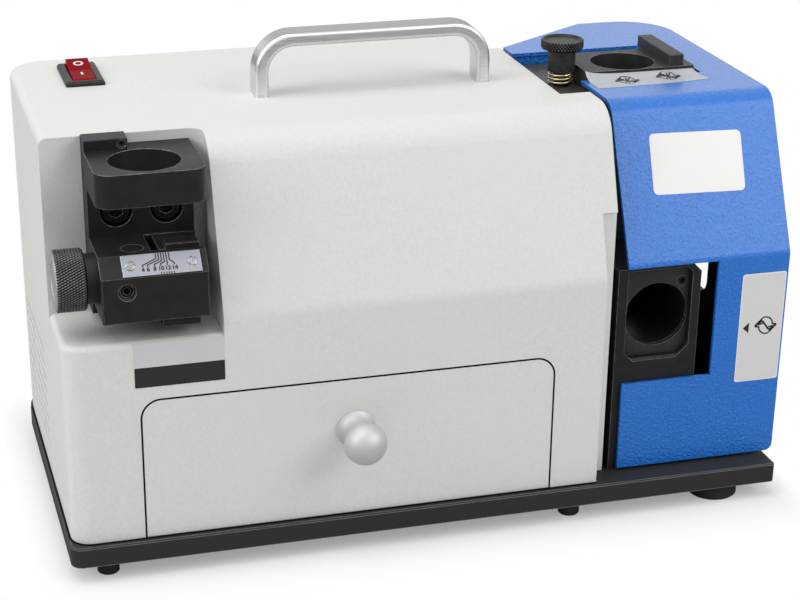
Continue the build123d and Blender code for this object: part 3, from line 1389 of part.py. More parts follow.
# Wheel head plates
back_plate_middle = (back_plate_front + back_plate_back) / 2
plate_screw_zs = [plate_top + plate_screw_margin, head_top - plate_screw_margin]
left_screw_planes = [
    Plane((left_plate_left, back_plate_middle, z), z_dir=(-1, 0, 0)) for z in plate_screw_zs
]
right_screw_planes = [
    Plane((right_plate_right, back_plate_middle, z), z_dir=(1, 0, 0)) for z in plate_screw_zs
]
with BuildPart() as head_left_plate:
    block_between((left_plate_left, left_plate_right), (left_plate_front, back_plate_back),
                  (plate_top, head_top))
    with Locations(Plane((left_plate_left, spindle_y, spindle_z), z_dir=(1, 0, 0))):
        Cylinder(spindle_hole_radius, left_plate_thickness, mode=Mode.SUBTRACT,
                 align=(Align.CENTER, Align.CENTER, Align.MIN))
    with Locations(*[(post_x, y, head_top) for y in post_ys]):
        Hole(post_radius + bearing_gap, depth=post_bite)
    with Locations((post_x, feed_y, head_top)):
        Hole(feed_screw_radius + running_gap, depth=feed_screw_bite + tip_gap)
    with Locations(*[(x, y, plate_top) for x, y in left_plate_screws]):
        Cylinder(base_screw_radius + screw_gap, base_screw_bite + tip_gap, mode=Mode.SUBTRACT,
                 align=(Align.CENTER, Align.CENTER, Align.MIN))
    with Locations(*left_screw_planes):
        CounterBoreHole(plate_screw_radius + screw_gap, plate_screw_head_radius + screw_gap,
                        left_screw_recess, left_plate_thickness)
head_left_plate.part.label = "head_left_plate"
export_step(head_left_plate.part, "parts/head_left_plate.step")

with BuildPart() as head_right_plate:
    with BuildSketch(Plane.YZ.offset(right_plate_left)):
        with BuildLine():
            Polyline((right_plate_front, plate_top), (right_plate_front, right_plate_shoulder),
                     (right_plate_brow, right_plate_top), (back_plate_back, right_plate_top),
                     (back_plate_back, plate_top), close=True)
        make_face()
    extrude(amount=right_plate_thickness)
    with BuildSketch(Plane.YZ.offset(right_plate_left)) as access_slot:
        with BuildLine():
            Polyline((spindle_y - access_slot_width / 2, right_plate_top),
                     (spindle_y - access_slot_width / 2, access_slot_bottom),
                     (spindle_y + access_slot_width / 2, access_slot_bottom),
                     (spindle_y + access_slot_width / 2, right_plate_top), close=True)
        make_face()
        fillet(access_slot.vertices().group_by(Axis.Y)[0], access_slot_corner)
    extrude(amount=right_plate_thickness, mode=Mode.SUBTRACT)
    chamfer(edge_at(head_right_plate, (right_plate_right, spindle_y, access_slot_bottom)), access_slot_edge)
    with Locations(*[(x, y, plate_top) for x, y in right_plate_screws]):
        Cylinder(base_screw_radius + screw_gap, base_screw_bite + tip_gap, mode=Mode.SUBTRACT,
                 align=(Align.CENTER, Align.CENTER, Align.MIN))
    with Locations(*right_screw_planes):
        CounterBoreHole(plate_screw_radius + screw_gap, plate_screw_head_radius + screw_gap,
                        plate_screw_recess, right_plate_thickness)
head_right_plate.part.label = "head_right_plate"
export_step(head_right_plate.part, "parts/head_right_plate.step")

hinge_screw_xs = [hinge_left + hinge_screw_margin, hinge_right - hinge_screw_margin]
hinge_screw_z = hinge_z - hinge_screw_drop
with BuildPart() as head_back_plate:
    block_between((left_plate_right, right_plate_left), (back_plate_front, back_plate_back),
                  (plate_top, head_top))
    with Locations(*[plane.offset(-left_plate_thickness) for plane in left_screw_planes],
                   *[plane.offset(-right_plate_thickness) for plane in right_screw_planes]):
        Hole(plate_screw_radius + screw_gap, depth=plate_screw_bite + tip_gap)
    with Locations(*[Plane((x, back_plate_back, hinge_screw_z), z_dir=(0, 1, 0)) for x in hinge_screw_xs]):
        Hole(hinge_screw_radius + screw_gap, depth=hinge_screw_bite)
head_back_plate.part.label = "head_back_plate"
export_step(head_back_plate.part, "parts/head_back_plate.step")

plate_screw = socket_screw(plate_screw_radius, right_plate_thickness - plate_screw_recess + plate_screw_bite,
                           plate_screw_head_radius, plate_screw_head_height)
with BuildPart() as plate_screws:
    with Locations(*[plane.offset(-left_screw_recess) for plane in left_screw_planes],
                   *[plane.offset(-plate_screw_recess) for plane in right_screw_planes]):
        add(plate_screw)
plate_screws.part.label = "plate_screws"
export_step(plate_screws.part, "parts/plate_screws.step")

# Front chuck holder, a pillar on the base plate, with a plate sunk in the pocket of its face
face_pocket_outline = [
    (face_pocket_left, face_pocket_top), (face_pocket_left, face_pocket_bottom + face_pocket_left_cut),
    (face_pocket_left + face_pocket_left_cut, face_pocket_bottom),
    (face_pocket_right - face_pocket_right_cut, face_pocket_bottom),
    (face_pocket_right, face_pocket_bottom + face_pocket_right_cut),
    (face_pocket_right, face_pocket_top - face_pocket_top_cut),
    (face_pocket_right - face_pocket_top_cut, face_pocket_top),
]
face_floor_plane = Plane((0, face_floor, 0), x_dir=(1, 0, 0), z_dir=(0, -1, 0))
face_bore_plane = Plane((front_bore_x, face_floor, front_bore_z), z_dir=(0, -1, 0))
face_screw_plane = Plane((face_screw_x, face_floor, face_screw_z), z_dir=(0, -1, 0))
with BuildPart() as front_holder:
    block_between((holder_left, holder_right), (holder_front, holder_back), (plate_top, holder_top))
    holder_middle_y = (holder_front + holder_back) / 2
    chamfer(edge_at(front_holder, (holder_right, holder_middle_y, holder_top)), holder_corner_cut)
    with BuildSketch(face_floor_plane):
        with BuildLine():
            Polyline(*face_pocket_outline, close=True)
        make_face()
    extrude(amount=face_pocket_depth, mode=Mode.SUBTRACT)
    pocket_middle_x = (face_pocket_left + face_pocket_right) / 2
    chamfer(edge_at(front_holder, (pocket_middle_x, holder_front, face_pocket_bottom)), face_pocket_edge)
    with Locations(face_bore_plane):
        Hole(chuck_bore_radius, depth=holder_depth)
    with Locations(face_screw_plane):
        Hole(face_screw_radius + screw_gap, depth=face_screw_length - face_plate_thickness)
    with Locations(*[(x, y, plate_top) for x, y in holder_screws]):
        Cylinder(base_screw_radius + screw_gap, base_screw_bite + tip_gap, mode=Mode.SUBTRACT,
                 align=(Align.CENTER, Align.CENTER, Align.MIN))
front_holder.part.label = "front_holder"
export_step(front_holder.part, "parts/front_holder.step")

with BuildPart() as front_face_plate:
    with BuildSketch(face_floor_plane):
        with BuildLine():
            Polyline(*face_pocket_outline, close=True)
        make_face()
        offset(amount=-face_plate_gap, kind=Kind.INTERSECTION, mode=Mode.REPLACE)
    extrude(amount=face_plate_thickness)
    with Locations(face_bore_plane.offset(face_plate_thickness)):
        Hole(chuck_bore_radius, depth=face_plate_thickness)
    with Locations(face_screw_plane.offset(face_plate_thickness)):
        Hole(face_screw_radius + screw_gap, depth=face_plate_thickness)
front_face_plate.part.label = "front_face_plate"
export_step(front_face_plate.part, "parts/front_face_plate.step")

# Top carrier on its guide posts
with BuildPart() as top_carrier:
    block_between((carrier_left, carrier_right), (carrier_front, carrier_back),
                  (carrier_bottom, carrier_top))
    fillet(top_carrier.edges().filter_by(Axis.Z), carrier_corner_radius)
    with Locations((post_x, feed_y, carrier_top)):
        Hole(feed_screw_radius + running_gap)
    with Locations(*[(post_x, y, carrier_bottom) for y in post_ys]):
        Cylinder(post_radius + running_gap, carrier_thickness - post_cover, mode=Mode.SUBTRACT,
                 align=(Align.CENTER, Align.CENTER, Align.MIN))
    with Locations((top_bore_x, spindle_y, carrier_top)):
        Hole(top_sleeve_radius + bearing_gap)
top_carrier.part.label = "top_carrier"
export_step(top_carrier.part, "parts/top_carrier.step")

post_bottom = head_top - post_bite
with BuildPart() as guide_posts:
    with Locations(*[(post_x, y, post_bottom) for y in post_ys]):
        Cylinder(post_radius, post_top - post_bottom, align=(Align.CENTER, Align.CENTER, Align.MIN))
guide_posts.part.label = "guide_posts"
export_step(guide_posts.part, "parts/guide_posts.step")

with BuildPart() as top_holder:
    block_between((top_holder_left, top_holder_right), (top_holder_front, top_holder_back),
                  (carrier_top, top_holder_top))
    chamfer(top_holder.edges().filter_by(Axis.Z).group_by(Axis.X)[0], top_holder_corner_cut)
    with Locations((top_bore_x, spindle_y, carrier_top)):
        Cylinder(top_sleeve_radius, top_sleeve_length, align=(Align.CENTER, Align.CENTER, Align.MAX))
    with Locations((top_bore_x, spindle_y, top_holder_top)):
        Hole(chuck_bore_radius)
top_holder.part.label = "top_holder"
export_step(top_holder.part, "parts/top_holder.step")

top_stop_front = top_holder_front + top_stop_setback
with BuildPart() as top_stop_bar:
    block_between((top_stop_right - top_stop_width, top_stop_right),
                  (top_stop_front, top_stop_front + top_stop_length),
                  (top_holder_top, top_holder_top + top_stop_height))
    chamfer(top_stop_bar.edges().group_by(Axis.Z)[-1], stop_bar_edge)
top_stop_bar.part.label = "top_stop_bar"
export_step(top_stop_bar.part, "parts/top_stop_bar.step")

# Feed knob and its spring
feed_axis = Axis((post_x, feed_y, 0), (0, 0, 1))
feed_plane = Plane((post_x, feed_y, 0), x_dir=(1, 0, 0), z_dir=(0, -1, 0))
feed_screw_bottom = head_top - feed_screw_bite
with BuildPart() as feed_knob:
    with BuildSketch(feed_plane):
        with BuildLine():
            Polyline((0, feed_screw_bottom), (feed_screw_radius, feed_screw_bottom),
                     (feed_screw_radius, feed_neck_bottom), (feed_knob_neck_radius, feed_neck_bottom),
                     (feed_knob_neck_radius, feed_head_bottom),
                     (feed_knob_radius - feed_knob_chamfer, feed_head_bottom),
                     (feed_knob_radius, feed_head_bottom + feed_knob_chamfer),
                     (feed_knob_radius, feed_head_top - feed_knob_chamfer),
                     (feed_knob_radius - feed_knob_chamfer, feed_head_top),
                     (feed_dish_radius, feed_head_top),
                     (feed_dish_radius - feed_dish_depth, feed_head_top - feed_dish_depth),
                     (0, feed_head_top - feed_dish_depth), close=True)
        make_face()
    revolve(axis=feed_axis)
feed_knob.part.label = "feed_knob"
export_step(feed_knob.part, "parts/feed_knob.step")

spring_bottom = carrier_top + spring_seat_gap + spring_wire_radius
spring_rise = spring_length - 2 * spring_seat_gap - 2 * spring_wire_radius
spring_slope = spring_rise / (2 * pi * spring_turns * spring_radius)


def coil_point(turn):
    """The point on the spring's centre line after so many turns."""
    angle = 2 * pi * turn
    return Vector(post_x + spring_radius * cos(angle), feed_y + spring_radius * sin(angle),
                  spring_bottom + spring_rise * turn / spring_turns)


def coil_direction(turn):
    """The direction of the spring's centre line after so many turns."""
    angle = 2 * pi * turn
    return Vector(-sin(angle), cos(angle), spring_slope).normalized()


def arc_joint(start, start_direction, end, end_direction):
    """The point where two tangent arcs meet that join two points in given directions."""
    chord = end - start
    along = chord.dot(start_direction + end_direction)
    bend = 2 * (1 - start_direction.dot(end_direction))
    reach = ((along**2 + bend * chord.dot(chord)) ** 0.5 - along) / bend
    return (start + end + (start_direction - end_direction) * reach) * 0.5


arcs_per_turn = 4
arc_turn = 1 / arcs_per_turn
arc_starts = [step * arc_turn for step in range(arcs_per_turn * spring_turns)]
with BuildLine() as spring_line:
    first = coil_point(0)
    Line(first - coil_direction(0) * 2 * spring_wire_radius, first)
    for turn in arc_starts:
        start, end = coil_point(turn), coil_point(turn + arc_turn)
        joint = arc_joint(start, coil_direction(turn), end, coil_direction(turn + arc_turn))
        first_arc = TangentArc(start, joint, tangent=coil_direction(turn))
        TangentArc(joint, end, tangent=first_arc % 1)
    last = coil_point(spring_turns)
    Line(last, last + coil_direction(spring_turns) * 2 * spring_wire_radius)
spring_wire = spring_line.wire()
with BuildPart() as feed_spring:
    with BuildSketch(Plane(origin=spring_wire @ 0, z_dir=spring_wire % 0)):
        Circle(spring_wire_radius)
    sweep(path=spring_wire)
feed_spring.part.label = "feed_spring"
export_step(feed_spring.part, "parts/feed_spring.step")

half_turn_samples = 40
sample_count = 2 * half_turn_samples * spring_turns
coil_samples = [spring_wire @ (step / sample_count) for step in range(sample_count + 1)]
least_coil_gap = min(
    (near - far).length
    for index, near in enumerate(coil_samples)
    for far in coil_samples[index + half_turn_samples:]
) - 2 * spring_wire_radius
print(f"least gap between the spring's coils: {least_coil_gap:.2f} mm")

# Guard, one bent sheet
with BuildPart() as guard:
    with BuildSketch(Plane.YZ.offset(guard_strip_left)):
        with BuildLine():
            bent = FilletPolyline((guard_front, guard_bottom), (guard_front, guard_bend),
                                  (guard_slope_back, guard_top), (guard_back, guard_top),
                                  radius=[guard_front_bend_radius, guard_top_bend_radius])
            offset(bent, amount=guard_sheet, side=Side.RIGHT)
        make_face()
    extrude(amount=guard_right - guard_strip_left)
    block_between((guard_strip_left, guard_left), (plate_front, guard_notch_y1), (plate_top, guard_top),
                  Mode.SUBTRACT)
    block_between((guard_strip_left, guard_notch_right), (guard_notch_y0, guard_notch_y1),
                  (carrier_bottom, guard_top), Mode.SUBTRACT)
    block_between((guard_left, guard_left + guard_window_width), (plate_front, holder_front),
                  (plate_top + guard_window_bottom, plate_top + guard_window_top), Mode.SUBTRACT)
    with BuildSketch(Plane.XY.offset(guard_top)):
        with BuildLine():
            Polyline((guard_strip_left, guard_back - guard_diagonal_y),
                     (guard_strip_left + guard_diagonal_x, guard_back), (guard_strip_left, guard_back),
                     close=True)
        make_face()
    extrude(amount=-guard_sheet, mode=Mode.SUBTRACT)
    block_between((guard_strip_left, guard_notch_right), (guard_lip_front, guard_lip_front + guard_sheet),
                  (guard_top - guard_lip_drop, guard_top - guard_sheet))
    fillet(edge_at(guard, (guard_right, guard_back, guard_top - guard_sheet / 2)), guard_rear_corner)
    fillet(edge_at(guard, (guard_right, guard_front + guard_sheet / 2, guard_bottom)), guard_bottom_corner)
guard.part.label = "guard"
export_step(guard.part, "parts/guard.step")

# Guard hinge: fixed leaf, moving leaf, pin and screws
hinge_plane = Plane((hinge_left, hinge_y, hinge_z), z_dir=(1, 0, 0))
moving_span = (hinge_left + knuckle + hinge_knuckle_gap, hinge_left + 2 * knuckle - hinge_knuckle_gap)
with BuildPart() as guard_hinge:
    for start in (hinge_left, hinge_left + 2 * knuckle):
        block_between((start, start + knuckle), (back_plate_back, back_plate_back + hinge_sheet),
                      (hinge_z - hinge_leaf_tall, hinge_z))
        with Locations(Plane((start, hinge_y, hinge_z), z_dir=(1, 0, 0))):
            Cylinder(hinge_barrel_radius, knuckle, align=(Align.CENTER, Align.CENTER, Align.MIN))
    block_between((hinge_left, hinge_right), (back_plate_back, back_plate_back + hinge_sheet),
                  (hinge_z - hinge_leaf_tall, hinge_z - hinge_barrel_radius - plate_gap))
    with Locations(hinge_plane):
        Cylinder(hinge_pin_radius + running_gap, hinge_length, mode=Mode.SUBTRACT,
                 align=(Align.CENTER, Align.CENTER, Align.MIN))
    with Locations(*[Plane((x, back_plate_back + hinge_sheet, hinge_screw_z), z_dir=(0, 1, 0))
                     for x in hinge_screw_xs]):
        Hole(hinge_screw_radius + screw_gap, depth=hinge_sheet)
guard_hinge.part.label = "guard_hinge"
export_step(guard_hinge.part, "parts/guard_hinge.step")

guard_underside = guard_top - guard_sheet
with BuildPart() as guard_leaf:
    block_between(moving_span, (hinge_y - hinge_leaf_reach, hinge_y),
                  (guard_underside - hinge_sheet, guard_underside))
    with Locations(Plane((moving_span[0], hinge_y, hinge_z), z_dir=(1, 0, 0))):
        Cylinder(hinge_barrel_radius, moving_span[1] - moving_span[0],
                 align=(Align.CENTER, Align.CENTER, Align.MIN))
        Cylinder(hinge_pin_radius + running_gap, moving_span[1] - moving_span[0], mode=Mode.SUBTRACT,
                 align=(Align.CENTER, Align.CENTER, Align.MIN))
guard_leaf.part.label = "guard_leaf"
export_step(guard_leaf.part, "parts/guard_leaf.step")

with BuildPart() as hinge_pin:
    with Locations(hinge_plane):
        Cylinder(hinge_pin_radius, hinge_length, align=(Align.CENTER, Align.CENTER, Align.MIN))
hinge_pin.part.label = "hinge_pin"
export_step(hinge_pin.part, "parts/hinge_pin.step")

hinge_screw = socket_screw(hinge_screw_radius, hinge_sheet + hinge_screw_bite, hinge_screw_head_radius,
                           hinge_screw_head_height)
with BuildPart() as hinge_screws:
    with Locations(*[Plane((x, back_plate_back + hinge_sheet, hinge_screw_z), z_dir=(0, 1, 0))
                     for x in hinge_screw_xs]):
        add(hinge_screw)
hinge_screws.part.label = "hinge_screws"
export_step(hinge_screws.part, "parts/hinge_screws.step")
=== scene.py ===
"""The looks of the end-mill grinder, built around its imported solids.

Every solid gets a node-based finish. What the solids leave plain is added here: the knurled knobs, the coil
spring, the print on the scale, the marks on the switch, the slotted screws and the bare label plates.
Metres throughout, +Z up, front towards -Y.
"""

import functools
import json
import logging
import math
from dataclasses import dataclass
from enum import Enum

import bpy
import bmesh
import numpy as np
from mathutils import Matrix, Vector


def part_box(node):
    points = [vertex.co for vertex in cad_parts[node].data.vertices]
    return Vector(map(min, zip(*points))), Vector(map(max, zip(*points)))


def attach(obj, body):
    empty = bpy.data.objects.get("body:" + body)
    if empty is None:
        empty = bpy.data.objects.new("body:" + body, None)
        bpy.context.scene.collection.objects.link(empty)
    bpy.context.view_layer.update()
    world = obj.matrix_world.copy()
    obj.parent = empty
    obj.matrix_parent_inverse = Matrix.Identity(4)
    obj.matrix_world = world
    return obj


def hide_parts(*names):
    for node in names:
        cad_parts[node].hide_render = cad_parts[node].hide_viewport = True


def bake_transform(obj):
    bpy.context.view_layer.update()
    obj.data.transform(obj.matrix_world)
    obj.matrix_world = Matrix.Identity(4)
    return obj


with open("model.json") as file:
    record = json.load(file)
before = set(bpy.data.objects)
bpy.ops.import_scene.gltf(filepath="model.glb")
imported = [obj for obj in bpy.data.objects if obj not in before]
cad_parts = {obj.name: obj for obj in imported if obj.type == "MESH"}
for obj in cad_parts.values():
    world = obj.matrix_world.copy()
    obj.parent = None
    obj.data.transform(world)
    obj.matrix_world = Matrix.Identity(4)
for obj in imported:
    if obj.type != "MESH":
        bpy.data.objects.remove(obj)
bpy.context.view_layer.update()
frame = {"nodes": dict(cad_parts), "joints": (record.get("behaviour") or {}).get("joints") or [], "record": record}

log = logging.getLogger("grinder")
MM = 0.001
RIGHT, BACK, UP = Vector((1, 0, 0)), Vector((0, 1, 0)), Vector((0, 0, 1))

Rgb = tuple[float, float, float]
Point = tuple[float, float, float]
Pair = tuple[float, float]
Socket = bpy.types.NodeSocket
Piece = bpy.types.Object

WHITE: Rgb = (1.0, 1.0, 1.0)

# The part of a pattern's run from 0 to 1 over which an effect fades in.
WHOLE: Pair = (0.0, 1.0)
MOST: Pair = (0.3, 0.7)
WIDE: Pair = (0.25, 0.75)
CLOSE: Pair = (0.35, 0.65)
EARLY: Pair = (0.3, 0.6)
LATE: Pair = (0.35, 0.7)
UPPER: Pair = (0.4, 0.75)
CHIPPED: Pair = (0.38, 0.62)

# The cosine between the softened and the plain normal, on a flat and on a sharp edge.
EDGE_TURN: Pair = (0.995, 0.86)
EDGE_SAMPLES = 8
# How close two points of a piece are when they count as one.
MERGE_DISTANCE = 1e-7
# The share of a font's size that its figures fill.
FIGURE_SHARE = 0.7


class Tree:
    """A node tree, with short calls for the nodes that the finishes and the sky share."""

    def __init__(self, tree: bpy.types.NodeTree) -> None:
        """Work on the node tree of a material or a world."""
        self.tree = tree

    def add(self, kind: str, inputs: dict | None = None, **settings: object) -> bpy.types.Node:
        """Add a node.

        Args:
            kind: The node's type.
            inputs: Values or sockets for its inputs, by name or number.
            settings: Values for its own properties.

        Returns:
            The new node.
        """
        node = self.tree.nodes.new(kind)
        for name, value in settings.items():
            setattr(node, name, value)
        for key, value in (inputs or {}).items():
            self.feed(node.inputs[key], value)
        return node

    def feed(self, socket: Socket, value: object) -> None:
        """Link a socket into an input, or set the input's constant.

        Args:
            socket: The input.
            value: The socket that it follows, or its constant.
        """
        if isinstance(value, Socket):
            self.tree.links.new(value, socket)
        else:
            socket.default_value = value

    def span(self, value: Socket, reach: Pair, to_low: float = 0.0, to_high: float = 1.0) -> Socket:
        """A value moved from the range reach into the range to_low to to_high, and held there."""
        inputs = dict(enumerate((value, *reach, to_low, to_high)))
        return self.add("ShaderNodeMapRange", inputs).outputs["Result"]

    def math(self, operation: str, *values: object) -> Socket:
        """One arithmetic step on two or three values."""
        return self.add("ShaderNodeMath", dict(enumerate(values)), operation=operation).outputs["Value"]

    def vector(self, operation: str, *values: object) -> Socket:
        """One step on one or two vectors; a length and a dot product are plain values."""
        node = self.add("ShaderNodeVectorMath", dict(enumerate(values)), operation=operation)
        return node.outputs["Value" if operation in ("LENGTH", "DOT_PRODUCT") else "Vector"]

    def mix(self, share: object, first: object, second: object) -> Socket:
        """A colour between two colours."""
        return self.add("ShaderNodeMix", {0: share, 6: first, 7: second}, data_type="RGBA").outputs[2]

    def between(self, share: object, first: object, second: object) -> Socket:
        """A value between two values."""
        return self.add("ShaderNodeMix", {0: share, 2: first, 3: second}).outputs[0]


class Graph(Tree):
    """The node tree of one material, on the piece's own coordinates."""

    def __init__(self, name: str) -> None:
        """Start a material with one shader.

        Args:
            name: The material's name.
        """
        self.material = bpy.data.materials.new(name)
        self.material.use_nodes = True
        super().__init__(self.material.node_tree)
        self.shader = self.tree.nodes["Principled BSDF"]
        self.place = self.add("ShaderNodeTexCoord").outputs["Object"]

    def set(self, **inputs: object) -> None:
        """Set the shader's inputs; an underscore in a name stands for a space."""
        for name, value in inputs.items():
            self.feed(self.shader.inputs[name.replace("_", " ")], value)

    def stretched(self, factors: Point) -> Socket:
        """The piece's coordinates, scaled by a factor along each axis."""
        return self.add("ShaderNodeMapping", {"Vector": self.place, "Scale": factors}).outputs["Vector"]

    def noise(self, size: float, detail: float = 2.0, warp: float = 0.0,
              place: Socket | None = None) -> Socket:
        """Cloudy noise.

        Args:
            size: The size of one cloud in metres.
            detail: How many finer layers are added.
            warp: How far the clouds are bent.
            place: The coordinates, or None for the piece's own.

        Returns:
            A socket from 0 to 1.
        """
        inputs = {"Vector": place or self.place, "Scale": 1.0 / size, "Detail": detail, "Distortion": warp}
        return self.add("ShaderNodeTexNoise", inputs).outputs["Fac"]

    def edge(self, radius: float) -> tuple[Socket, Socket]:
        """How close a point is to a sharp edge.

        Args:
            radius: The reach of the edge in metres.

        Returns:
            The normal of the softened edge, and a mask that is 1 on edges and 0 on flats.
        """
        soft = self.add("ShaderNodeBevel", {"Radius": radius}, samples=EDGE_SAMPLES).outputs["Normal"]
        plain = self.add("ShaderNodeNewGeometry").outputs["Normal"]
        return soft, self.span(self.vector("DOT_PRODUCT", soft, plain), EDGE_TURN)

    def bump(self, height: Socket, depth: float, normal: Socket | None = None) -> Socket:
        """The normal of a surface that rises with a pattern.

        Args:
            height: The pattern, from 0 to 1.
            depth: How far the surface rises, in metres.
            normal: The normal that it starts from, or None for the plain one.

        Returns:
            The new normal.
        """
        inputs = {"Height": height, "Distance": depth, "Strength": 1.0}
        if normal is not None:
            inputs["Normal"] = normal
        return self.add("ShaderNodeBump", inputs).outputs["Normal"]

    def roughen(self, pattern: Socket, roughness: float, spread: Pair, reach: Pair = MOST) -> None:
        """Vary the roughness with a pattern; the spread is added where it is low and where it is high."""
        self.set(Roughness=self.span(pattern, reach, roughness + spread[0], roughness + spread[1]))


def rgba(color: Rgb, gain: float = 1.0) -> tuple[float, float, float, float]:
    """A colour with full alpha, made lighter or darker by a gain."""
    return (color[0] * gain, color[1] * gain, color[2] * gain, 1.0)


class Grain(Enum):
    """The direction that a metal's fine marks run in, as the scale of its coordinates."""

    ALONG_X = (0.03, 1.0, 1.0)
    ALONG_Y = (1.0, 0.03, 1.0)
    ALONG_Z = (1.0, 1.0, 0.03)
    EVEN = (1.0, 1.0, 1.0)


@dataclass(frozen=True)
class Finish:
    """What a piece is made of or painted with.

    In its kinds, a length is the size of one cloud, mark or dimple, a depth is how far such a pattern rises,
    a gain makes the colour lighter or darker, a share is how much of an effect shows, and the spread is what
    a pattern adds to the roughness.
    """

    name: str
    color: Rgb

    @functools.cache
    def material(self) -> bpy.types.Material:
        """The finish's material, made at its first use.

        Returns:
            The material.
        """
        graph = Graph(self.name)
        self.paint(graph)
        return graph.material

    def paint(self, graph: Graph) -> None:
        """Add the nodes of the finish's own kind to a material."""
        raise NotImplementedError

    def dress(self, piece: Piece) -> None:
        """Give a piece this finish all over, in place of any it had."""
        piece.data.materials.clear()
        piece.data.materials.append(self.material())

    def mottle(self, graph: Graph, pattern: Socket, gains: Pair, reach: Pair = MOST) -> Socket:
        """The finish's colour, whose gain goes from the first of two to the second as a pattern rises."""
        return graph.mix(graph.span(pattern, reach), *(rgba(self.color, gain) for gain in gains))


@dataclass(frozen=True)
class HammerPaint(Finish):
    """Stoved paint with a dimpled, hammered skin."""

    dimple: float
    depth: float
    roughness: float
    gloss: float
    shade: float
    coat: float = 0.0
    coat_ior: float = 1.4
    coat_roughness: float = 0.25
    edge: float = 0.5 * MM
    warp: float = 0.2
    fine_size: float = 0.4
    fine_share: float = 0.25
    cloud: float = 60 * MM
    cloud_share: float = 0.5
    cloud_gain: float = 0.975
    spread: Pair = (0.08, -0.04)

    def paint(self, graph: Graph) -> None:
        """Dimples from bent noise, a little darker in their hollows by tone and painted shade, with softened
        edges.

        Args:
            graph: The material's node tree.
        """
        soft, _ = graph.edge(self.edge)
        dimples = graph.noise(self.dimple, detail=1.0, warp=self.warp)
        fine = graph.noise(self.dimple * self.fine_size)
        height = graph.math("MULTIPLY_ADD", fine, self.fine_share, dimples)
        clouds = graph.span(graph.noise(self.cloud), CLOSE, 0.0, self.cloud_share)
        # Darker hollows: partly the paint's own tone, partly painted shade that brings out the relief.
        tone = self.mottle(graph, dimples, (self.shade, 1.0))
        graph.set(Base_Color=graph.mix(clouds, tone, rgba(self.color, self.cloud_gain)))
        graph.roughen(dimples, self.roughness, self.spread, WIDE)
        graph.set(Normal=graph.bump(height, self.depth, soft), Specular_IOR_Level=self.gloss)
        graph.set(Coat_Weight=self.coat, Coat_IOR=self.coat_ior, Coat_Roughness=self.coat_roughness)


@dataclass(frozen=True)
class WornPaint(Finish):
    """Smooth dark paint, rubbed pale along its edges."""

    rubbed: Rgb
    roughness: float
    wear: float
    least_wear: float = 0.5
    gloss: float = 0.3
    edge: float = 0.7 * MM
    grain: float = 0.5 * MM
    grain_depth: float = 0.02 * MM
    grain_gains: Pair = (0.88, 1.08)
    patch: float = 7 * MM
    spread: Pair = (-0.06, 0.08)

    def paint(self, graph: Graph) -> None:
        """A faint grain over the paint, and broken pale lines where edges are rubbed.

        Args:
            graph: The material's node tree.
        """
        soft, edge = graph.edge(self.edge)
        grain = graph.noise(self.grain, detail=3.0)
        patches = graph.noise(self.patch, detail=3.0)
        broken = graph.span(patches, EARLY, self.least_wear * self.wear, self.wear)
        worn = graph.math("MULTIPLY", edge, broken)
        tone = self.mottle(graph, grain, self.grain_gains)
        graph.set(Base_Color=graph.mix(worn, tone, rgba(self.rubbed)))
        graph.roughen(patches, self.roughness, self.spread)
        graph.set(Normal=graph.bump(grain, self.grain_depth, soft), Specular_IOR_Level=self.gloss)


@dataclass(frozen=True)
class BlackOxide(Finish):
    """Blackened steel with fine machining marks and bright, rubbed edges."""

    grain: Grain
    roughness: float
    wear: float
    gloss: float
    least_wear: float = 0.4
    bare: Rgb = (0.42, 0.42, 0.42)
    bare_metal: float = 0.9
    edge: float = 0.55 * MM
    mark: float = 0.35 * MM
    mark_depth: float = 0.012 * MM
    mark_share: float = 0.25
    mark_gain: float = 1.7
    cloud: float = 9 * MM
    cloud_warp: float = 0.5
    cloud_gains: Pair = (0.8, 1.2)
    chip: float = 2.2 * MM
    spread: Pair = (-0.06, 0.07)

    def paint(self, graph: Graph) -> None:
        """Marks along the cutter's path, cloudy blackening and bare steel on the edges.

        Args:
            graph: The material's node tree.
        """
        soft, edge = graph.edge(self.edge)
        marks = graph.noise(self.mark, place=graph.stretched(self.grain.value))
        clouds = graph.noise(self.cloud, detail=4.0, warp=self.cloud_warp)
        chips = graph.noise(self.chip, detail=3.0)
        broken = graph.span(chips, CHIPPED, self.least_wear * self.wear, self.wear)
        worn = graph.math("MULTIPLY", edge, broken)
        tone = self.mottle(graph, clouds, self.cloud_gains)
        scored = graph.span(marks, UPPER, 0.0, self.mark_share)
        tone = graph.mix(scored, tone, rgba(self.color, self.mark_gain))
        graph.set(Base_Color=graph.mix(worn, tone, rgba(self.bare)))
        graph.set(Metallic=graph.span(worn, WHOLE, 0.0, self.bare_metal))
        graph.roughen(clouds, self.roughness, self.spread)
        graph.set(Normal=graph.bump(marks, self.mark_depth, soft), Specular_IOR_Level=self.gloss)


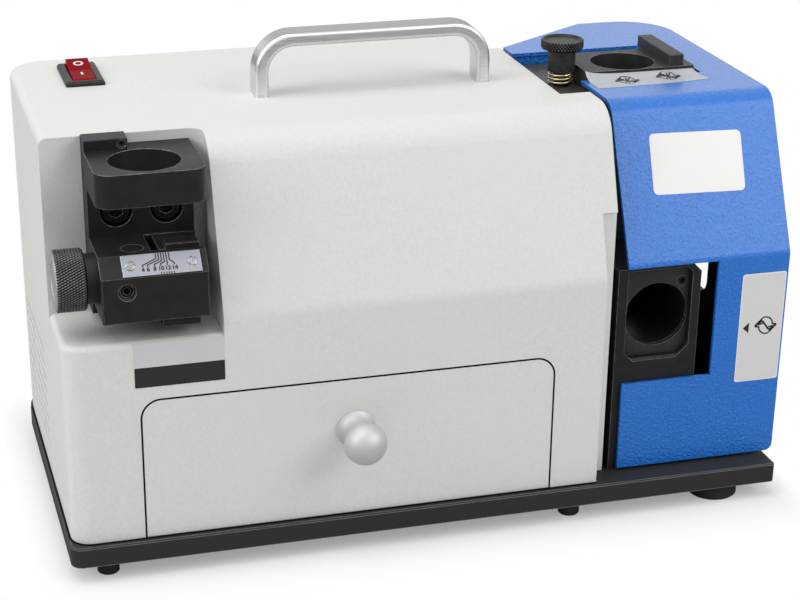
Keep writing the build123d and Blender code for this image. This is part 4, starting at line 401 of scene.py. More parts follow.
@dataclass(frozen=True)
class KnurledSteel(Finish):
    """Blackened steel whose knurled points are rubbed bare."""

    rubbed: Rgb
    roughness: float
    gloss: float = 0.3
    bare_crest: Pair = (0.45, 1.0)
    bare_metal: float = 0.8
    cloud: float = 2.5 * MM
    cloud_depth: float = 0.02 * MM
    least_wear: float = 0.6
    spread: Pair = (-0.06, 0.07)

    def paint(self, graph: Graph) -> None:
        """The piece's crest attribute, 0 in grooves and 1 on points, turns the blackening into bare steel.

        Args:
            graph: The material's node tree.
        """
        crest = graph.add("ShaderNodeAttribute", attribute_name="crest").outputs["Fac"]
        clouds = graph.noise(self.cloud, detail=3.0)
        broken = graph.span(clouds, EARLY, self.least_wear)
        worn = graph.math("MULTIPLY", graph.span(crest, self.bare_crest), broken)
        graph.set(Base_Color=graph.mix(worn, rgba(self.color), rgba(self.rubbed)))
        graph.set(Metallic=graph.span(worn, WHOLE, 0.0, self.bare_metal))
        graph.roughen(clouds, self.roughness, self.spread)
        graph.set(Normal=graph.bump(clouds, self.cloud_depth), Specular_IOR_Level=self.gloss)


@dataclass(frozen=True)
class BareMetal(Finish):
    """Unpainted metal with its drawing, grinding or turning marks."""

    grain: Grain
    roughness: float
    marks: float
    depth: float
    top_shade: float = 0.0
    metal: float = 1.0
    line: float = 0.4 * MM
    edge: float = 0.35 * MM
    edge_color: Rgb = (0.9, 0.9, 0.9)
    edge_share: float = 0.5
    cloud: float = 12 * MM
    cloud_share: float = 0.35
    cloud_gain: float = 0.93
    top_shade_slopes: Pair = (0.6, 0.9)
    top_shade_gain: float = 0.2
    spread: Pair = (-0.05, 0.07)

    def paint(self, graph: Graph) -> None:
        """Fine lines along the grain vary the gloss and tone; edges are softened, upper faces get painted shade.

        Args:
            graph: The material's node tree.
        """
        soft, edge = graph.edge(self.edge)
        lines = graph.noise(self.line, detail=3.0, place=graph.stretched(self.grain.value))
        clouds = graph.span(graph.noise(self.cloud, detail=3.0), LATE, 0.0, self.cloud_share)
        tone = self.mottle(graph, lines, (1.0 - self.marks, 1.0))
        tone = graph.mix(clouds, tone, rgba(self.color, self.cloud_gain))
        # Painted shade: faces that look up are darkened towards the top shade gain.
        facing = graph.add("ShaderNodeNewGeometry").outputs["Normal"]
        upward = graph.add("ShaderNodeSeparateXYZ", {0: facing}).outputs["Z"]
        top_shade_mask = graph.span(upward, self.top_shade_slopes, 0.0, self.top_shade)
        tone = graph.mix(top_shade_mask, tone, rgba(self.color, self.top_shade_gain))
        rubbed = graph.span(edge, WHOLE, 0.0, self.edge_share)
        graph.set(Base_Color=graph.mix(rubbed, tone, rgba(self.edge_color)))
        graph.roughen(lines, self.roughness, self.spread, WIDE)
        graph.set(Metallic=self.metal, Normal=graph.bump(lines, self.depth, soft))


@dataclass(frozen=True)
class Moulding(Finish):
    """Moulded plastic or rubber with a fine skin; glow is the share of light that is scattered inside."""

    roughness: float
    skin: float
    depth: float
    ior: float
    glow: float = 0.0
    glow_reach: Point = (2 * MM, 0.5 * MM, 0.4 * MM)
    edge: float = 0.4 * MM
    edge_share: float = 0.25
    edge_gain: float = 1.9
    dust: float = 5 * MM
    dust_gains: Pair = (0.92, 1.08)
    spread: Pair = (-0.05, 0.06)

    def paint(self, graph: Graph) -> None:
        """A fine grain on the skin, a little dust in the tone and lighter edges.

        Args:
            graph: The material's node tree.
        """
        soft, edge = graph.edge(self.edge)
        skin = graph.noise(self.skin)
        tone = self.mottle(graph, graph.noise(self.dust, detail=4.0), self.dust_gains, LATE)
        rubbed = graph.span(edge, WHOLE, 0.0, self.edge_share)
        graph.set(Base_Color=graph.mix(rubbed, tone, rgba(self.color, self.edge_gain)))
        graph.roughen(skin, self.roughness, self.spread)
        graph.set(Normal=graph.bump(skin, self.depth, soft), IOR=self.ior)
        graph.set(Subsurface_Weight=self.glow, Subsurface_Radius=self.glow_reach)


@dataclass(frozen=True)
class Grit(Finish):
    """A bonded abrasive: coarse grains in a dull matrix."""

    grain: float
    depth: float = 0.08 * MM
    gains: Pair = (1.6, 0.5)
    cell_reach: Pair = (0.0, 0.8)
    roughness: Pair = (0.55, 0.95)

    def paint(self, graph: Graph) -> None:
        """Cells stand for the grains, which get darker and duller with the distance from their middles.

        Args:
            graph: The material's node tree.
        """
        cells = graph.add("ShaderNodeTexVoronoi", {"Vector": graph.place, "Scale": 1.0 / self.grain})
        distance = cells.outputs["Distance"]
        graph.set(Base_Color=graph.mix(distance, *(rgba(self.color, gain) for gain in self.gains)))
        graph.set(Roughness=graph.span(distance, self.cell_reach, *self.roughness))
        graph.set(Normal=graph.bump(distance, self.depth))


@dataclass(frozen=True)
class Film(Finish):
    """Printed film or ink: an even colour with a slight gloss and a few soft waves."""

    roughness: float
    wave_depth: float
    metal: float = 0.0
    wave: float = 11 * MM
    fleck: float = 0.3 * MM
    fleck_gains: Pair = (0.96, 1.0)
    spread: Pair = (-0.04, 0.05)

    def paint(self, graph: Graph) -> None:
        """Slow waves in the film's height, and a fine fleck in its tone.

        Args:
            graph: The material's node tree.
        """
        waves = graph.noise(self.wave, detail=1.0)
        tone = self.mottle(graph, graph.noise(self.fleck), self.fleck_gains)
        graph.set(Base_Color=tone, Metallic=self.metal)
        graph.roughen(waves, self.roughness, self.spread)
        graph.set(Normal=graph.bump(waves, self.wave_depth))


HOUSING_PAINT = HammerPaint("housing_paint", (0.775, 0.777, 0.75), dimple=1.6 * MM, depth=0.08 * MM,
                            roughness=0.44, gloss=0.3, shade=0.94)
GUARD_PAINT = HammerPaint("guard_paint", (0.003, 0.186, 0.72), dimple=1.5 * MM, depth=1.0 * MM,
                          roughness=0.32, gloss=0.4, shade=0.8, coat=0.9)
TRAY_PAINT = HammerPaint("tray_paint", (0.62, 0.63, 0.62), dimple=1.2 * MM, depth=0.03 * MM,
                         roughness=0.42, gloss=0.4, shade=0.97)
BASE_PAINT = WornPaint("base_paint", (0.026, 0.0255, 0.025), rubbed=(0.45, 0.45, 0.44),
                       roughness=0.6, wear=1.0)
MOTOR_PAINT = WornPaint("motor_paint", (0.16, 0.18, 0.2), rubbed=(0.3, 0.3, 0.3),
                        roughness=0.5, wear=0.4)
OXIDE_X = BlackOxide("black_oxide_x", (0.0135, 0.0135, 0.014), Grain.ALONG_X,
                     roughness=0.46, wear=0.75, gloss=0.26)
OXIDE_Y = BlackOxide("black_oxide_y", (0.03, 0.029, 0.029), Grain.ALONG_Y,
                     roughness=0.44, wear=0.6, gloss=0.26)
OXIDE_Z = BlackOxide("black_oxide_z", (0.018, 0.018, 0.019), Grain.ALONG_Z,
                     roughness=0.46, wear=0.5, gloss=0.2)
OXIDE_HEAD = BlackOxide("black_oxide_head", (0.048, 0.047, 0.045), Grain.ALONG_X,
                        roughness=0.42, wear=0.6, gloss=0.45)
OXIDE_TURNED = BlackOxide("black_oxide_turned", (0.013, 0.013, 0.0135), Grain.EVEN,
                          roughness=0.4, wear=0.7, gloss=0.3)
OXIDE_SCREW = BlackOxide("black_oxide_screw", (0.005, 0.005, 0.0052), Grain.EVEN,
                         roughness=0.42, wear=0.55, gloss=0.15)
KNURLED_STEEL = KnurledSteel("knurled_steel", (0.003, 0.003, 0.0033), rubbed=(0.55, 0.55, 0.55),
                             roughness=0.38)
# The handle's upper faces carry a painted shade.
HANDLE_METAL = BareMetal("satin_aluminium", (0.78, 0.78, 0.785), Grain.ALONG_X,
                         roughness=0.3, marks=0.16, depth=0.006 * MM, top_shade=0.6)
KNOB_METAL = BareMetal("polished_aluminium", (0.6, 0.6, 0.61), Grain.EVEN,
                       roughness=0.5, marks=0.08, depth=0.002 * MM, metal=0.4)
WHEEL_METAL = BareMetal("turned_aluminium", (0.62, 0.62, 0.64), Grain.EVEN,
                        roughness=0.3, marks=0.15, depth=0.006 * MM)
SCALE_METAL = BareMetal("scale_aluminium", (0.33, 0.34, 0.385), Grain.ALONG_X,
                        roughness=0.42, marks=0.08, depth=0.003 * MM)
SCALE_SCREW = BareMetal("scale_screw_steel", (0.34, 0.34, 0.345), Grain.EVEN,
                        roughness=0.4, marks=0.15, depth=0.006 * MM)
SCREW_METAL = BareMetal("zinc_steel", (0.6, 0.6, 0.585), Grain.EVEN,
                        roughness=0.32, marks=0.12, depth=0.004 * MM)
GROUND_METAL = BareMetal("ground_steel", (0.58, 0.58, 0.6), Grain.EVEN,
                         roughness=0.24, marks=0.1, depth=0.003 * MM)
SHEET_METAL = BareMetal("zinc_sheet", (0.55, 0.56, 0.57), Grain.ALONG_Y,
                        roughness=0.38, marks=0.15, depth=0.006 * MM)
SPRING_METAL = BareMetal("drawn_brass", (0.72, 0.6, 0.38), Grain.EVEN,
                         roughness=0.24, marks=0.15, depth=0.004 * MM)
ROTOR_IRON = BareMetal("rotor_iron", (0.25, 0.245, 0.24), Grain.EVEN,
                       roughness=0.5, marks=0.2, depth=0.01 * MM)
RUBBER = Moulding("foot_rubber", (0.018, 0.018, 0.018),
                  roughness=0.72, skin=0.5 * MM, depth=0.03 * MM, ior=1.4)
# Near-black, darker than rubber, for the painted shadow strips in the drawer's gap and at the housing's foot.
SHADOW_BLACK = Moulding("painted_shadow_black", (0.004, 0.004, 0.004),
                       roughness=0.8, skin=0.5 * MM, depth=0.01 * MM, ior=1.2)
BLACK_PLASTIC = Moulding("black_plastic", (0.022, 0.022, 0.023),
                         roughness=0.4, skin=0.35 * MM, depth=0.015 * MM, ior=1.3)
RED_PLASTIC = Moulding("red_plastic", (0.25, 0.003, 0.007),
                       roughness=0.22, skin=0.8 * MM, depth=0.004 * MM, ior=1.06, glow=0.1)
ABRASIVE = Grit("abrasive_grit", (0.13, 0.13, 0.115), grain=0.45 * MM)
WHITE_FILM = Film("white_film", (0.9, 0.9, 0.89), roughness=0.4, wave_depth=0.02 * MM)
LIGHT_FILM = Film("light_film", (0.66, 0.66, 0.68), roughness=0.45, wave_depth=0.02 * MM)
DARK_FILM = Film("dark_film", (0.016, 0.016, 0.017), roughness=0.45, wave_depth=0.02 * MM)
GREY_FILM = Film("grey_film", (0.75, 0.75, 0.745), roughness=0.45, wave_depth=0.03 * MM)
SILVER_FILM = Film("silver_film", (0.49, 0.505, 0.545), roughness=0.4, wave_depth=0.03 * MM, metal=0.1)
INK = Film("black_ink", (0.008, 0.008, 0.009), roughness=0.6, wave_depth=0.002 * MM)
WHITE_INK = Film("white_ink", (0.82, 0.82, 0.82), roughness=0.4, wave_depth=0.002 * MM)

NODE_FINISHES: dict[Finish, tuple[str, ...]] = {
    HOUSING_PAINT: ("housing_shell", "drawer_front"),
    GUARD_PAINT: ("guard", "guard_leaf", "guard_hinge"),
    TRAY_PAINT: ("drawer_tray",),
    BASE_PAINT: ("base_plate",),
    OXIDE_X: ("setting_bracket", "gauge_stop_bar", "setting_block", "slider", "heel_block", "front_holder",
              "cover_plug"),
    OXIDE_Y: ("top_stop_bar", "top_holder", "front_face_plate"),
    OXIDE_Z: ("head_back_plate", "head_right_plate", "head_left_plate"),
    OXIDE_HEAD: ("top_carrier",),
    OXIDE_SCREW: ("bracket_screws", "block_screws", "set_screws", "lock_screw"),
    OXIDE_TURNED: ("knob_collar", "setting_knob", "feed_knob"),
    HANDLE_METAL: ("carry_handle",),
    KNOB_METAL: ("drawer_knob",),
    WHEEL_METAL: ("wheel_body",),
    SCALE_METAL: ("scale_plate",),
    SCREW_METAL: ("foot_screws", "base_screws", "handle_screws", "knob_screw", "plate_screws", "hinge_screws",
                  "inlet_pins", "scale_screws"),
    GROUND_METAL: ("lead_screw", "spindle_shaft", "wheel_flange", "wheel_nut", "guide_posts", "bearings",
                   "hinge_pin"),
    SHEET_METAL: ("drawer_runners", "motor_shelf"),
    SPRING_METAL: ("feed_spring",),
    MOTOR_PAINT: ("motor_body", "motor_bells"),
    ROTOR_IRON: ("rotor",),
    RUBBER: ("feet_small", "feet_large"),
    BLACK_PLASTIC: ("mains_inlet", "switch_body", "cooling_fan"),
    RED_PLASTIC: ("rocker",),
    ABRASIVE: ("abrasive_rim",),
}


def dress_nodes() -> None:
    """Give every solid of the frame its finish."""
    for finish, nodes in NODE_FINISHES.items():
        for node in nodes:
            finish.dress(frame["nodes"][node])


@dataclass(frozen=True)
class Patch:
    """A flat place on the machine, with its own right and up directions."""

    origin: Vector
    right: Vector
    up: Vector

    @property
    def out(self) -> Vector:
        """The direction that the place faces."""
        return self.right.cross(self.up)

    def lift(self, flat: np.ndarray) -> np.ndarray:
        """Points of the machine for points (right, up, out) of the patch.

        Args:
            flat: An array whose last axis has three coordinates in metres.

        Returns:
            An array of the same shape in the machine's axes.
        """
        return np.array(self.origin) + flat @ np.array([self.right, self.up, self.out])


@dataclass(frozen=True)
class CurledPatch(Patch):
    """A flat place whose sheet lifts off behind a bend, most of all towards its left end."""

    bend: float
    rear: float
    left: float
    rise: float
    corner_rise: float
    corner_reach: float

    def lift(self, flat: np.ndarray) -> np.ndarray:
        """Points of the machine for points (right, up, out) of the sheet.

        The sheet rises with the square of the distance behind the bend, and that rise grows exponentially
        towards the left end.

        Args:
            flat: An array whose last axis has three coordinates in metres.

        Returns:
            An array of the same shape in the machine's axes.
        """
        past = np.clip((flat[..., 1] - self.bend) / (self.rear - self.bend), 0.0, 1.0)
        corner = self.corner_rise * np.exp((self.left - flat[..., 0]) / self.corner_reach)
        out = flat[..., 2] + past**2 * (self.rise + corner)
        return super().lift(np.stack([flat[..., 0], flat[..., 1], out], axis=-1))


def front_patch(node: str, x: float, z: float) -> Patch:
    """A place on the front face of a node."""
    return Patch(Vector((x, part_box(node)[0].y, z)), RIGHT, UP)


class Shape:
    """Points and faces gathered as arrays until they become one piece."""

    def __init__(self) -> None:
        """Start with nothing."""
        self.points: list[np.ndarray] = []
        self.faces: list[list[int]] = []
        self.count = 0

    def add(self, points: np.ndarray, blocks: list[np.ndarray]) -> None:
        """Add points and their faces.

        Args:
            points: An array whose last axis has three coordinates.
            blocks: Arrays with a face in each row, which number these points from 0.
        """
        for block in blocks:
            self.faces.extend((block + self.count).tolist())
        self.points.append(points.reshape(-1, 3))
        self.count += len(self.points[-1])

    def grid(self, points: np.ndarray, wrap: bool = True, caps: bool = True) -> None:
        """Add a surface given on a grid of rows and columns.

        Each face joins two neighbours in a row to the same two in the next row. Where columns wrap, the last
        one meets the first, and caps close the first and the last row with a fan round its middle.

        Args:
            points: The grid, rows by columns by three coordinates.
            wrap: Whether the columns run round.
            caps: Whether the first and the last row are closed.
        """
        rows, columns = points.shape[:2]
        numbers = np.arange(rows * columns).reshape(rows, columns)
        beside = np.roll(numbers, -1, axis=1)
        if not wrap:
            numbers, beside = numbers[:, :-1], beside[:, :-1]
        quads = np.stack([numbers[:-1], beside[:-1], beside[1:], numbers[1:]], axis=-1)
        blocks = [quads.reshape(-1, 4)]
        flat = points.reshape(-1, 3)
        if caps:
            for row, order in ((0, -1), (rows - 1, 1)):
                hub = np.full(columns, len(flat))
                flat = np.concatenate([flat, points[row].mean(axis=0)[None]])
                blocks.append(np.stack([numbers[row], beside[row], hub], axis=-1)[:, ::order])
        self.add(flat, blocks)

    def plate(self, outline: np.ndarray, patch: Patch, thickness: float, base: float = 0.0) -> None:
        """Add a flat plate: its outline on the patch, carried outwards by its thickness.

        Args:
            outline: Corner points (right, up) in order round the plate, in metres.
            patch: The place that the plate lies on.
            thickness: How far the plate stands out.
            base: How far its back stands off the patch.
        """
        flat = np.zeros((2, len(outline), 3))
        flat[..., :2] = outline
        flat[..., 2] = np.array([base, base + thickness])[:, None]
        self.grid(patch.lift(flat))

    def ribbon(self, line: np.ndarray, width: float, patch: Patch, thickness: float,
               base: float = 0.0) -> None:
        """Add an ink line: a flat oblong profile carried along a polyline on the patch.

        Each point moves sideways by half the width, along the mean of its two runs' normals.

        Args:
            line: Points (right, up) in metres.
            width: The line's width.
            patch: The place that the line lies on.
            thickness: How far the line stands out.
            base: How far its back stands off the patch.
        """
        runs = np.diff(line, axis=0)
        sides = np.stack([-runs[:, 1], runs[:, 0]], axis=-1)
        sides /= np.linalg.norm(sides, axis=1, keepdims=True)
        mean = np.concatenate([sides[:1], (sides[:-1] + sides[1:]) / 2, sides[-1:]])
        mean /= np.einsum("ij,ij->i", mean, mean)[:, None]
        left, right = line + mean * width / 2, line - mean * width / 2
        flat = np.zeros((len(line), 4, 3))
        flat[:, :, :2] = np.stack([left, right, right, left], axis=1)
        flat[:, :, 2] = np.array([base, base, base + thickness, base + thickness])
        self.grid(patch.lift(flat))

    def text(self, words: str, height: float, middle: Pair, patch: Patch, thickness: float,
             stroke: float) -> None:
        """Add a line of figures, made a mesh first and then laid on the patch.

        Args:
            words: The figures.
            height: Their height in metres.
            middle: The place (right, up) of their middle.
            patch: The place that they lie on.
            thickness: How far they stand out.
            stroke: How far their outline is spread.
        """
        curve = bpy.data.curves.new("figures", "FONT")
        curve.body, curve.align_x, curve.align_y = words, "CENTER", "CENTER"
        curve.size, curve.extrude, curve.offset = height / FIGURE_SHARE, thickness / 2, stroke
        holder = bpy.data.objects.new("figures", curve)
        mesh = bpy.data.meshes.new_from_object(holder)
        flat = np.zeros(len(mesh.vertices) * 3)
        mesh.vertices.foreach_get("co", flat)
        flat = flat.reshape(-1, 3) + np.array([*middle, thickness / 2])
        self.add(patch.lift(flat), [np.array([polygon.vertices]) for polygon in mesh.polygons])
        bpy.data.meshes.remove(mesh)
        bpy.data.objects.remove(holder)
        bpy.data.curves.remove(curve)

    def piece(self, name: str, body: str | None, slot: str, finish: Finish, crease: float = 35.0,
              crest: np.ndarray | None = None) -> Piece:
        """Make one object of all that was added, and dress it.

        Args:
            name: The piece's name.
            body: The body that it rides on, or None for a piece that is attached to none.
            slot: The name of a material slot; not used.
            finish: Its finish.
            crease: The angle in degrees above which an edge stays sharp.
            crest: How far each point stands out of its knurl, from 0 to 1.

        Returns:
            The new piece, with its doubles merged and its faces turned outwards.
        """
        mesh = bpy.data.meshes.new(name)
        mesh.from_pydata(np.concatenate(self.points).tolist(), [], self.faces)
        if crest is not None:
            mesh.attributes.new("crest", "FLOAT", "POINT").data.foreach_set("value", crest)
        work = bmesh.new()
        work.from_mesh(mesh)
        bmesh.ops.remove_doubles(work, verts=work.verts, dist=MERGE_DISTANCE)
        bmesh.ops.recalc_face_normals(work, faces=work.faces)
        work.to_mesh(mesh)
        work.free()
        mesh.shade_smooth()
        mesh.set_sharp_from_angle(angle=math.radians(crease))
        piece = bpy.data.objects.new(name, mesh)
        bpy.context.scene.collection.objects.link(piece)
        if body:
            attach(piece, body)
        finish.dress(piece)
        return piece


class Lathe(Enum):
    """The axis that a turned piece runs along, as the places of its along, first and second coordinates."""

    X = (0, 1, 2)
    Y = (1, 2, 0)
    Z = (2, 0, 1)

    def turn(self, along: np.ndarray, radius: np.ndarray, columns: int, centre: Vector) -> np.ndarray:
        """Points of a surface of revolution: (along, radius cos a, radius sin a) for angles a all round.

        Args:
            along: The place of each row on the axis.
            radius: Each row's radius, or a radius for every row and column.
            columns: How many points lie round the axis.
            centre: A point of the axis.

        Returns:
            A grid of points, rows by columns by three.
        """
        angle = np.linspace(0.0, 2 * np.pi, columns, endpoint=False)
        radius = np.broadcast_to(radius if radius.ndim == 2 else radius[:, None], (len(along), columns))
        length, first, second = self.value
        points = np.zeros((len(along), columns, 3))
        points[..., length] = along[:, None]
        points[..., first] = centre[first] + radius * np.cos(angle)
        points[..., second] = centre[second] + radius * np.sin(angle)
        return points


def rounded_oblong(width: float, height: float, radius: float, steps: int = 8) -> np.ndarray:
    """An oblong with rounded corners about (0, 0), as four quarter circles in order.

    Args:
        width: Its size to the right, in metres.
        height: Its size upwards.
        radius: The radius of its corners.
        steps: How many points each corner has.

    Returns:
        Points (right, up) round the oblong.
    """
    quarter = np.pi / 2
    angle = np.linspace(0.0, quarter, steps)[None, :] + (np.arange(4) * quarter)[:, None]
    signs = np.array([(1, 1), (-1, 1), (-1, -1), (1, -1)])
    middles = signs * (np.array([width, height]) / 2 - radius)
    arcs = middles[:, None, :] + radius * np.stack([np.cos(angle), np.sin(angle)], axis=-1)
    return arcs.reshape(-1, 2)


def run_line(corners: np.ndarray, step: float) -> np.ndarray:
    """Points (right, up) at even steps along the straight runs between corners.

    Args:
        corners: The corners (right, up) in metres.
        step: The distance between points, about.

    Returns:
        The points, with the corners among them.
    """
    reach = np.concatenate([[0.0], np.cumsum(np.linalg.norm(np.diff(corners, axis=0), axis=1))])
    even = np.linspace(0.0, reach[-1], max(2, round(reach[-1] / step)))
    places = np.unique(np.concatenate([reach, even]))
    return np.stack([np.interp(places, reach, corners[:, axis]) for axis in (0, 1)], axis=-1)


def arc_line(radius: float, start: float, end: float, steps: int = 24, middle: Pair = (0, 0)) -> np.ndarray:
    """Points (right, up) along an arc, from one angle to another in degrees."""
    angle = np.radians(np.linspace(start, end, steps))
    return np.array(middle) + radius * np.stack([np.cos(angle), np.sin(angle)], axis=-1)


@dataclass(frozen=True)
class Knurl:
    """A diamond knurl: two sets of V grooves that wind round a knob in opposite directions.

    Wear is the crest attribute of its points, and cross the second set's share of the depth.
    """

    starts: int
    steps: int
    rows: int
    pitch: float
    depth: float
    cross: float
    wear: float
    flank: float = 1.1

    @property
    def columns(self) -> int:
        """How many points lie round the knob."""
        return self.starts * self.steps

    def cut(self, along: np.ndarray) -> np.ndarray:
        """The depth of the grooves below the knurl's points.

        Each set is a triangle wave of the angle plus or minus the distance along the axis, and the lower of
        the two waves is the surface.

        Args:
            along: The distance of each row along the axis.

        Returns:
            Rows by columns of depths in metres.
        """
        turn = np.linspace(0.0, self.starts, self.columns, endpoint=False)[None, :]
        shift = (along / self.pitch)[:, None]
        first, second = [np.abs(2.0 * np.mod(turn + side * shift, 1.0) - 1.0) for side in (1.0, -1.0)]
        rise = np.clip(self.flank * (1.0 - np.maximum(first, self.cross * second)), 0.0, 1.0)
        return self.depth * (1.0 - rise)


@dataclass
class Knob:
    """A turned knob: a plain profile at each end and a knurled band between them."""

    node: str
    lathe: Lathe
    knurl: Knurl
    chamfer: float
    hub_ring: float = 0.3 * MM
    crease: float = 28.0

    def reach(self) -> tuple[float, float, float]:
        """The solid's size.

        Returns:
            Where it starts and ends along its axis, and its radius.
        """
        low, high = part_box(self.node)
        along, side, _ = self.lathe.value
        return low[along], high[along], (high[side] - low[side]) / 2

    def turned(self, lower: np.ndarray, band: Pair, upper: np.ndarray, wear: Pair) -> Piece:
        """Turn the knob about its axis and put it in place of its solid.

        The crest attribute is one value on each end, and on the band it falls from the points into the
        grooves.

        Args:
            lower: The rows of the first end, as places along the axis and radii.
            band: Where the band with its two chamfers starts and ends.
            upper: The rows of the other end.
            wear: The crest attribute of the two ends.

        Returns:
            The knob.
        """
        low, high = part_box(self.node)
        columns = self.knurl.columns
        rows = np.linspace(band[0] + self.chamfer, band[1] - self.chamfer, self.knurl.rows)
        cut = self.knurl.cut(rows - band[0])
        plain = np.ones((1, columns))
        along = np.concatenate([lower[:, 0], rows, upper[:, 0]])
        radii = np.concatenate([lower[:, 1:] * plain, self.reach()[2] - cut, upper[:, 1:] * plain])
        crest = np.concatenate([np.full((len(lower), columns), wear[0]),
                                self.knurl.wear * (1.0 - cut / self.knurl.depth),
                                np.full((len(upper), columns), wear[1])])
        shape = Shape()
        shape.grid(self.lathe.turn(along, radii, columns, (low + high) / 2))
        knob = shape.piece(f"knurled_{self.node}", self.node, "black_oxide", KNURLED_STEEL, self.crease,
                           np.append(crest, wear))
        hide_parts(self.node)
        return knob


@dataclass
class SettingKnob(Knob):
    """The knurled knob at the left of the setting block."""

    node: str = "setting_knob"
    lathe: Lathe = Lathe.X
    knurl: Knurl = Knurl(starts=72, steps=8, rows=90, pitch=2.74 * MM, depth=0.5 * MM, cross=0.5, wear=0.8)
    chamfer: float = 0.9 * MM
    hub_radius: float = 9.0 * MM
    hub_dish: float = 0.35 * MM
    back_radius: float = 3.2 * MM
    face_wear: float = 1.0
    back_wear: float = 0.0

    def build(self) -> list[Piece]:
        """Give the knob a dished face, a chamfer on each side of the band and a plain rear face.

        Returns:
            The knob.
        """
        start, end, radius = self.reach()
        rim, dish = radius - self.chamfer, start + self.hub_dish
        face = np.array([(dish, self.hub_ring), (dish, self.hub_radius),
                         (start, self.hub_radius + self.hub_dish), (start, rim)])
        back = np.array([(end, rim), (end, self.back_radius)])
        return [self.turned(face, (start, end), back, (self.face_wear, self.back_wear))]


@dataclass
class FeedKnob(Knob):
    """The knurled feed knob with its neck and screw, standing on the top carrier."""

    node: str = "feed_knob"
    lathe: Lathe = Lathe.Z
    knurl: Knurl = Knurl(starts=42, steps=10, rows=24, pitch=2.1 * MM, depth=0.45 * MM, cross=1.0, wear=0.7)
    chamfer: float = 0.55 * MM
    head_height: float = 4.8 * MM
    neck_height: float = 12.1 * MM
    neck_radius: float = 7.25 * MM
    neck_chamfer: float = 0.3 * MM
    screw_radius: float = 4.0 * MM
    rim_width: float = 1.1 * MM
    dish_depth: float = 1.0 * MM
    neck_wear: float = 0.49
    top_wear: float = 0.46

    def build(self) -> list[Piece]:
        """Give the knob its screw, neck, knurled head, rim and dished top.

        Returns:
            The knob.
        """
        bottom, top, radius = self.reach()
        head = top - self.head_height
        neck = head - self.neck_height
        rim, inner, dish = radius - self.chamfer, radius - self.rim_width, top - self.dish_depth
        below = np.array([(bottom, self.hub_ring), (bottom, self.screw_radius), (neck, self.screw_radius),
                          (neck, self.neck_radius - self.neck_chamfer),
                          (neck + self.neck_chamfer, self.neck_radius),
                          (head, self.neck_radius), (head, rim)])
        above = np.array([(top, rim), (top, inner), (dish, inner - self.dish_depth), (dish, self.hub_ring)])
        return [self.turned(below, (head, top), above, (self.neck_wear, self.top_wear))]


@dataclass
class FeedSpring:
    """The brass coil between the feed knob's neck and the top carrier."""

    turns: float = 3.0
    wire_radius: float = 0.6 * MM
    end_turn: float = 0.04
    rows_per_turn: int = 56
    end_rows: int = 5
    columns: int = 14
    crease: float = 60.0

    def build(self) -> list[Piece]:
        """Carry a circle along a helix: (r cos a, r sin a, rise times a), in the frame of its own direction.

        Returns:
            The coil.
        """
        low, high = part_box("feed_spring")
        middle = (low + high) / 2
        radius = (high.x - low.x) / 2 - self.wire_radius
        bottom, top = low.z + self.wire_radius, high.z - self.wire_radius
        rows = round(self.turns * self.rows_per_turn) + self.end_rows
        turn = np.linspace(-self.end_turn, self.turns + self.end_turn, rows)
        angle = 2 * np.pi * turn
        height = bottom + (top - bottom) * np.clip(turn / self.turns, 0.0, 1.0)
        outward = np.stack([np.cos(angle), np.sin(angle), np.zeros(rows)], axis=-1)
        slope = (top - bottom) / (2 * np.pi * radius * self.turns)
        forward = np.stack([-np.sin(angle), np.cos(angle), np.full(rows, slope)], axis=-1)
        upward = np.cross(outward, forward)
        upward /= np.linalg.norm(upward, axis=1, keepdims=True)
        line = np.array([middle.x, middle.y, 0.0]) + radius * outward + height[:, None] * np.array(UP)
        around = np.linspace(0, 2 * np.pi, self.columns, endpoint=False)[None, :, None]
        ring = np.cos(around) * outward[:, None] + np.sin(around) * upward[:, None]
        shape = Shape()
        shape.grid(line[:, None] + self.wire_radius * ring)
        coil = shape.piece("coil_spring", None, "spring_brass", SPRING_METAL, self.crease)
        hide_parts("feed_spring")
        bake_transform(coil)
        return [coil]


@dataclass
class DrawerShadowStrip:
    """A black strip in the gap round the drawer's front, a painted shadow that makes the gap look dark."""

    gap: float = 0.5 * MM
    width: float = 0.9 * MM
    corner_radius: float = 9.75 * MM
    corner_steps: int = 16
    base: float = 0.01 * MM
    thickness: float = 0.06 * MM

    def build(self) -> list[Piece]:
        """Carry a flat oblong up one side, round both upper corners and down the other side.

        Returns:
            The strip.
        """
        low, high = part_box("drawer_front")
        half, top = (high.x - low.x + self.gap) / 2, high.z - low.z + self.gap / 2
        side, level = half - self.corner_radius, top - self.corner_radius
        line = np.concatenate([[(-half, 0.0)],
                               arc_line(self.corner_radius, 180, 90, self.corner_steps, (-side, level)),
                               arc_line(self.corner_radius, 90, 0, self.corner_steps, (side, level)),
                               [(half, 0.0)]])
        shape = Shape()
        patch = front_patch("drawer_front", (low.x + high.x) / 2, low.z)
        shape.ribbon(line, self.width, patch, self.thickness, self.base)
        # A near-black painted shadow that fills the drawer's gap.
        return [shape.piece("drawer_shadow_strip", "drawer", "black_plastic", SHADOW_BLACK)]


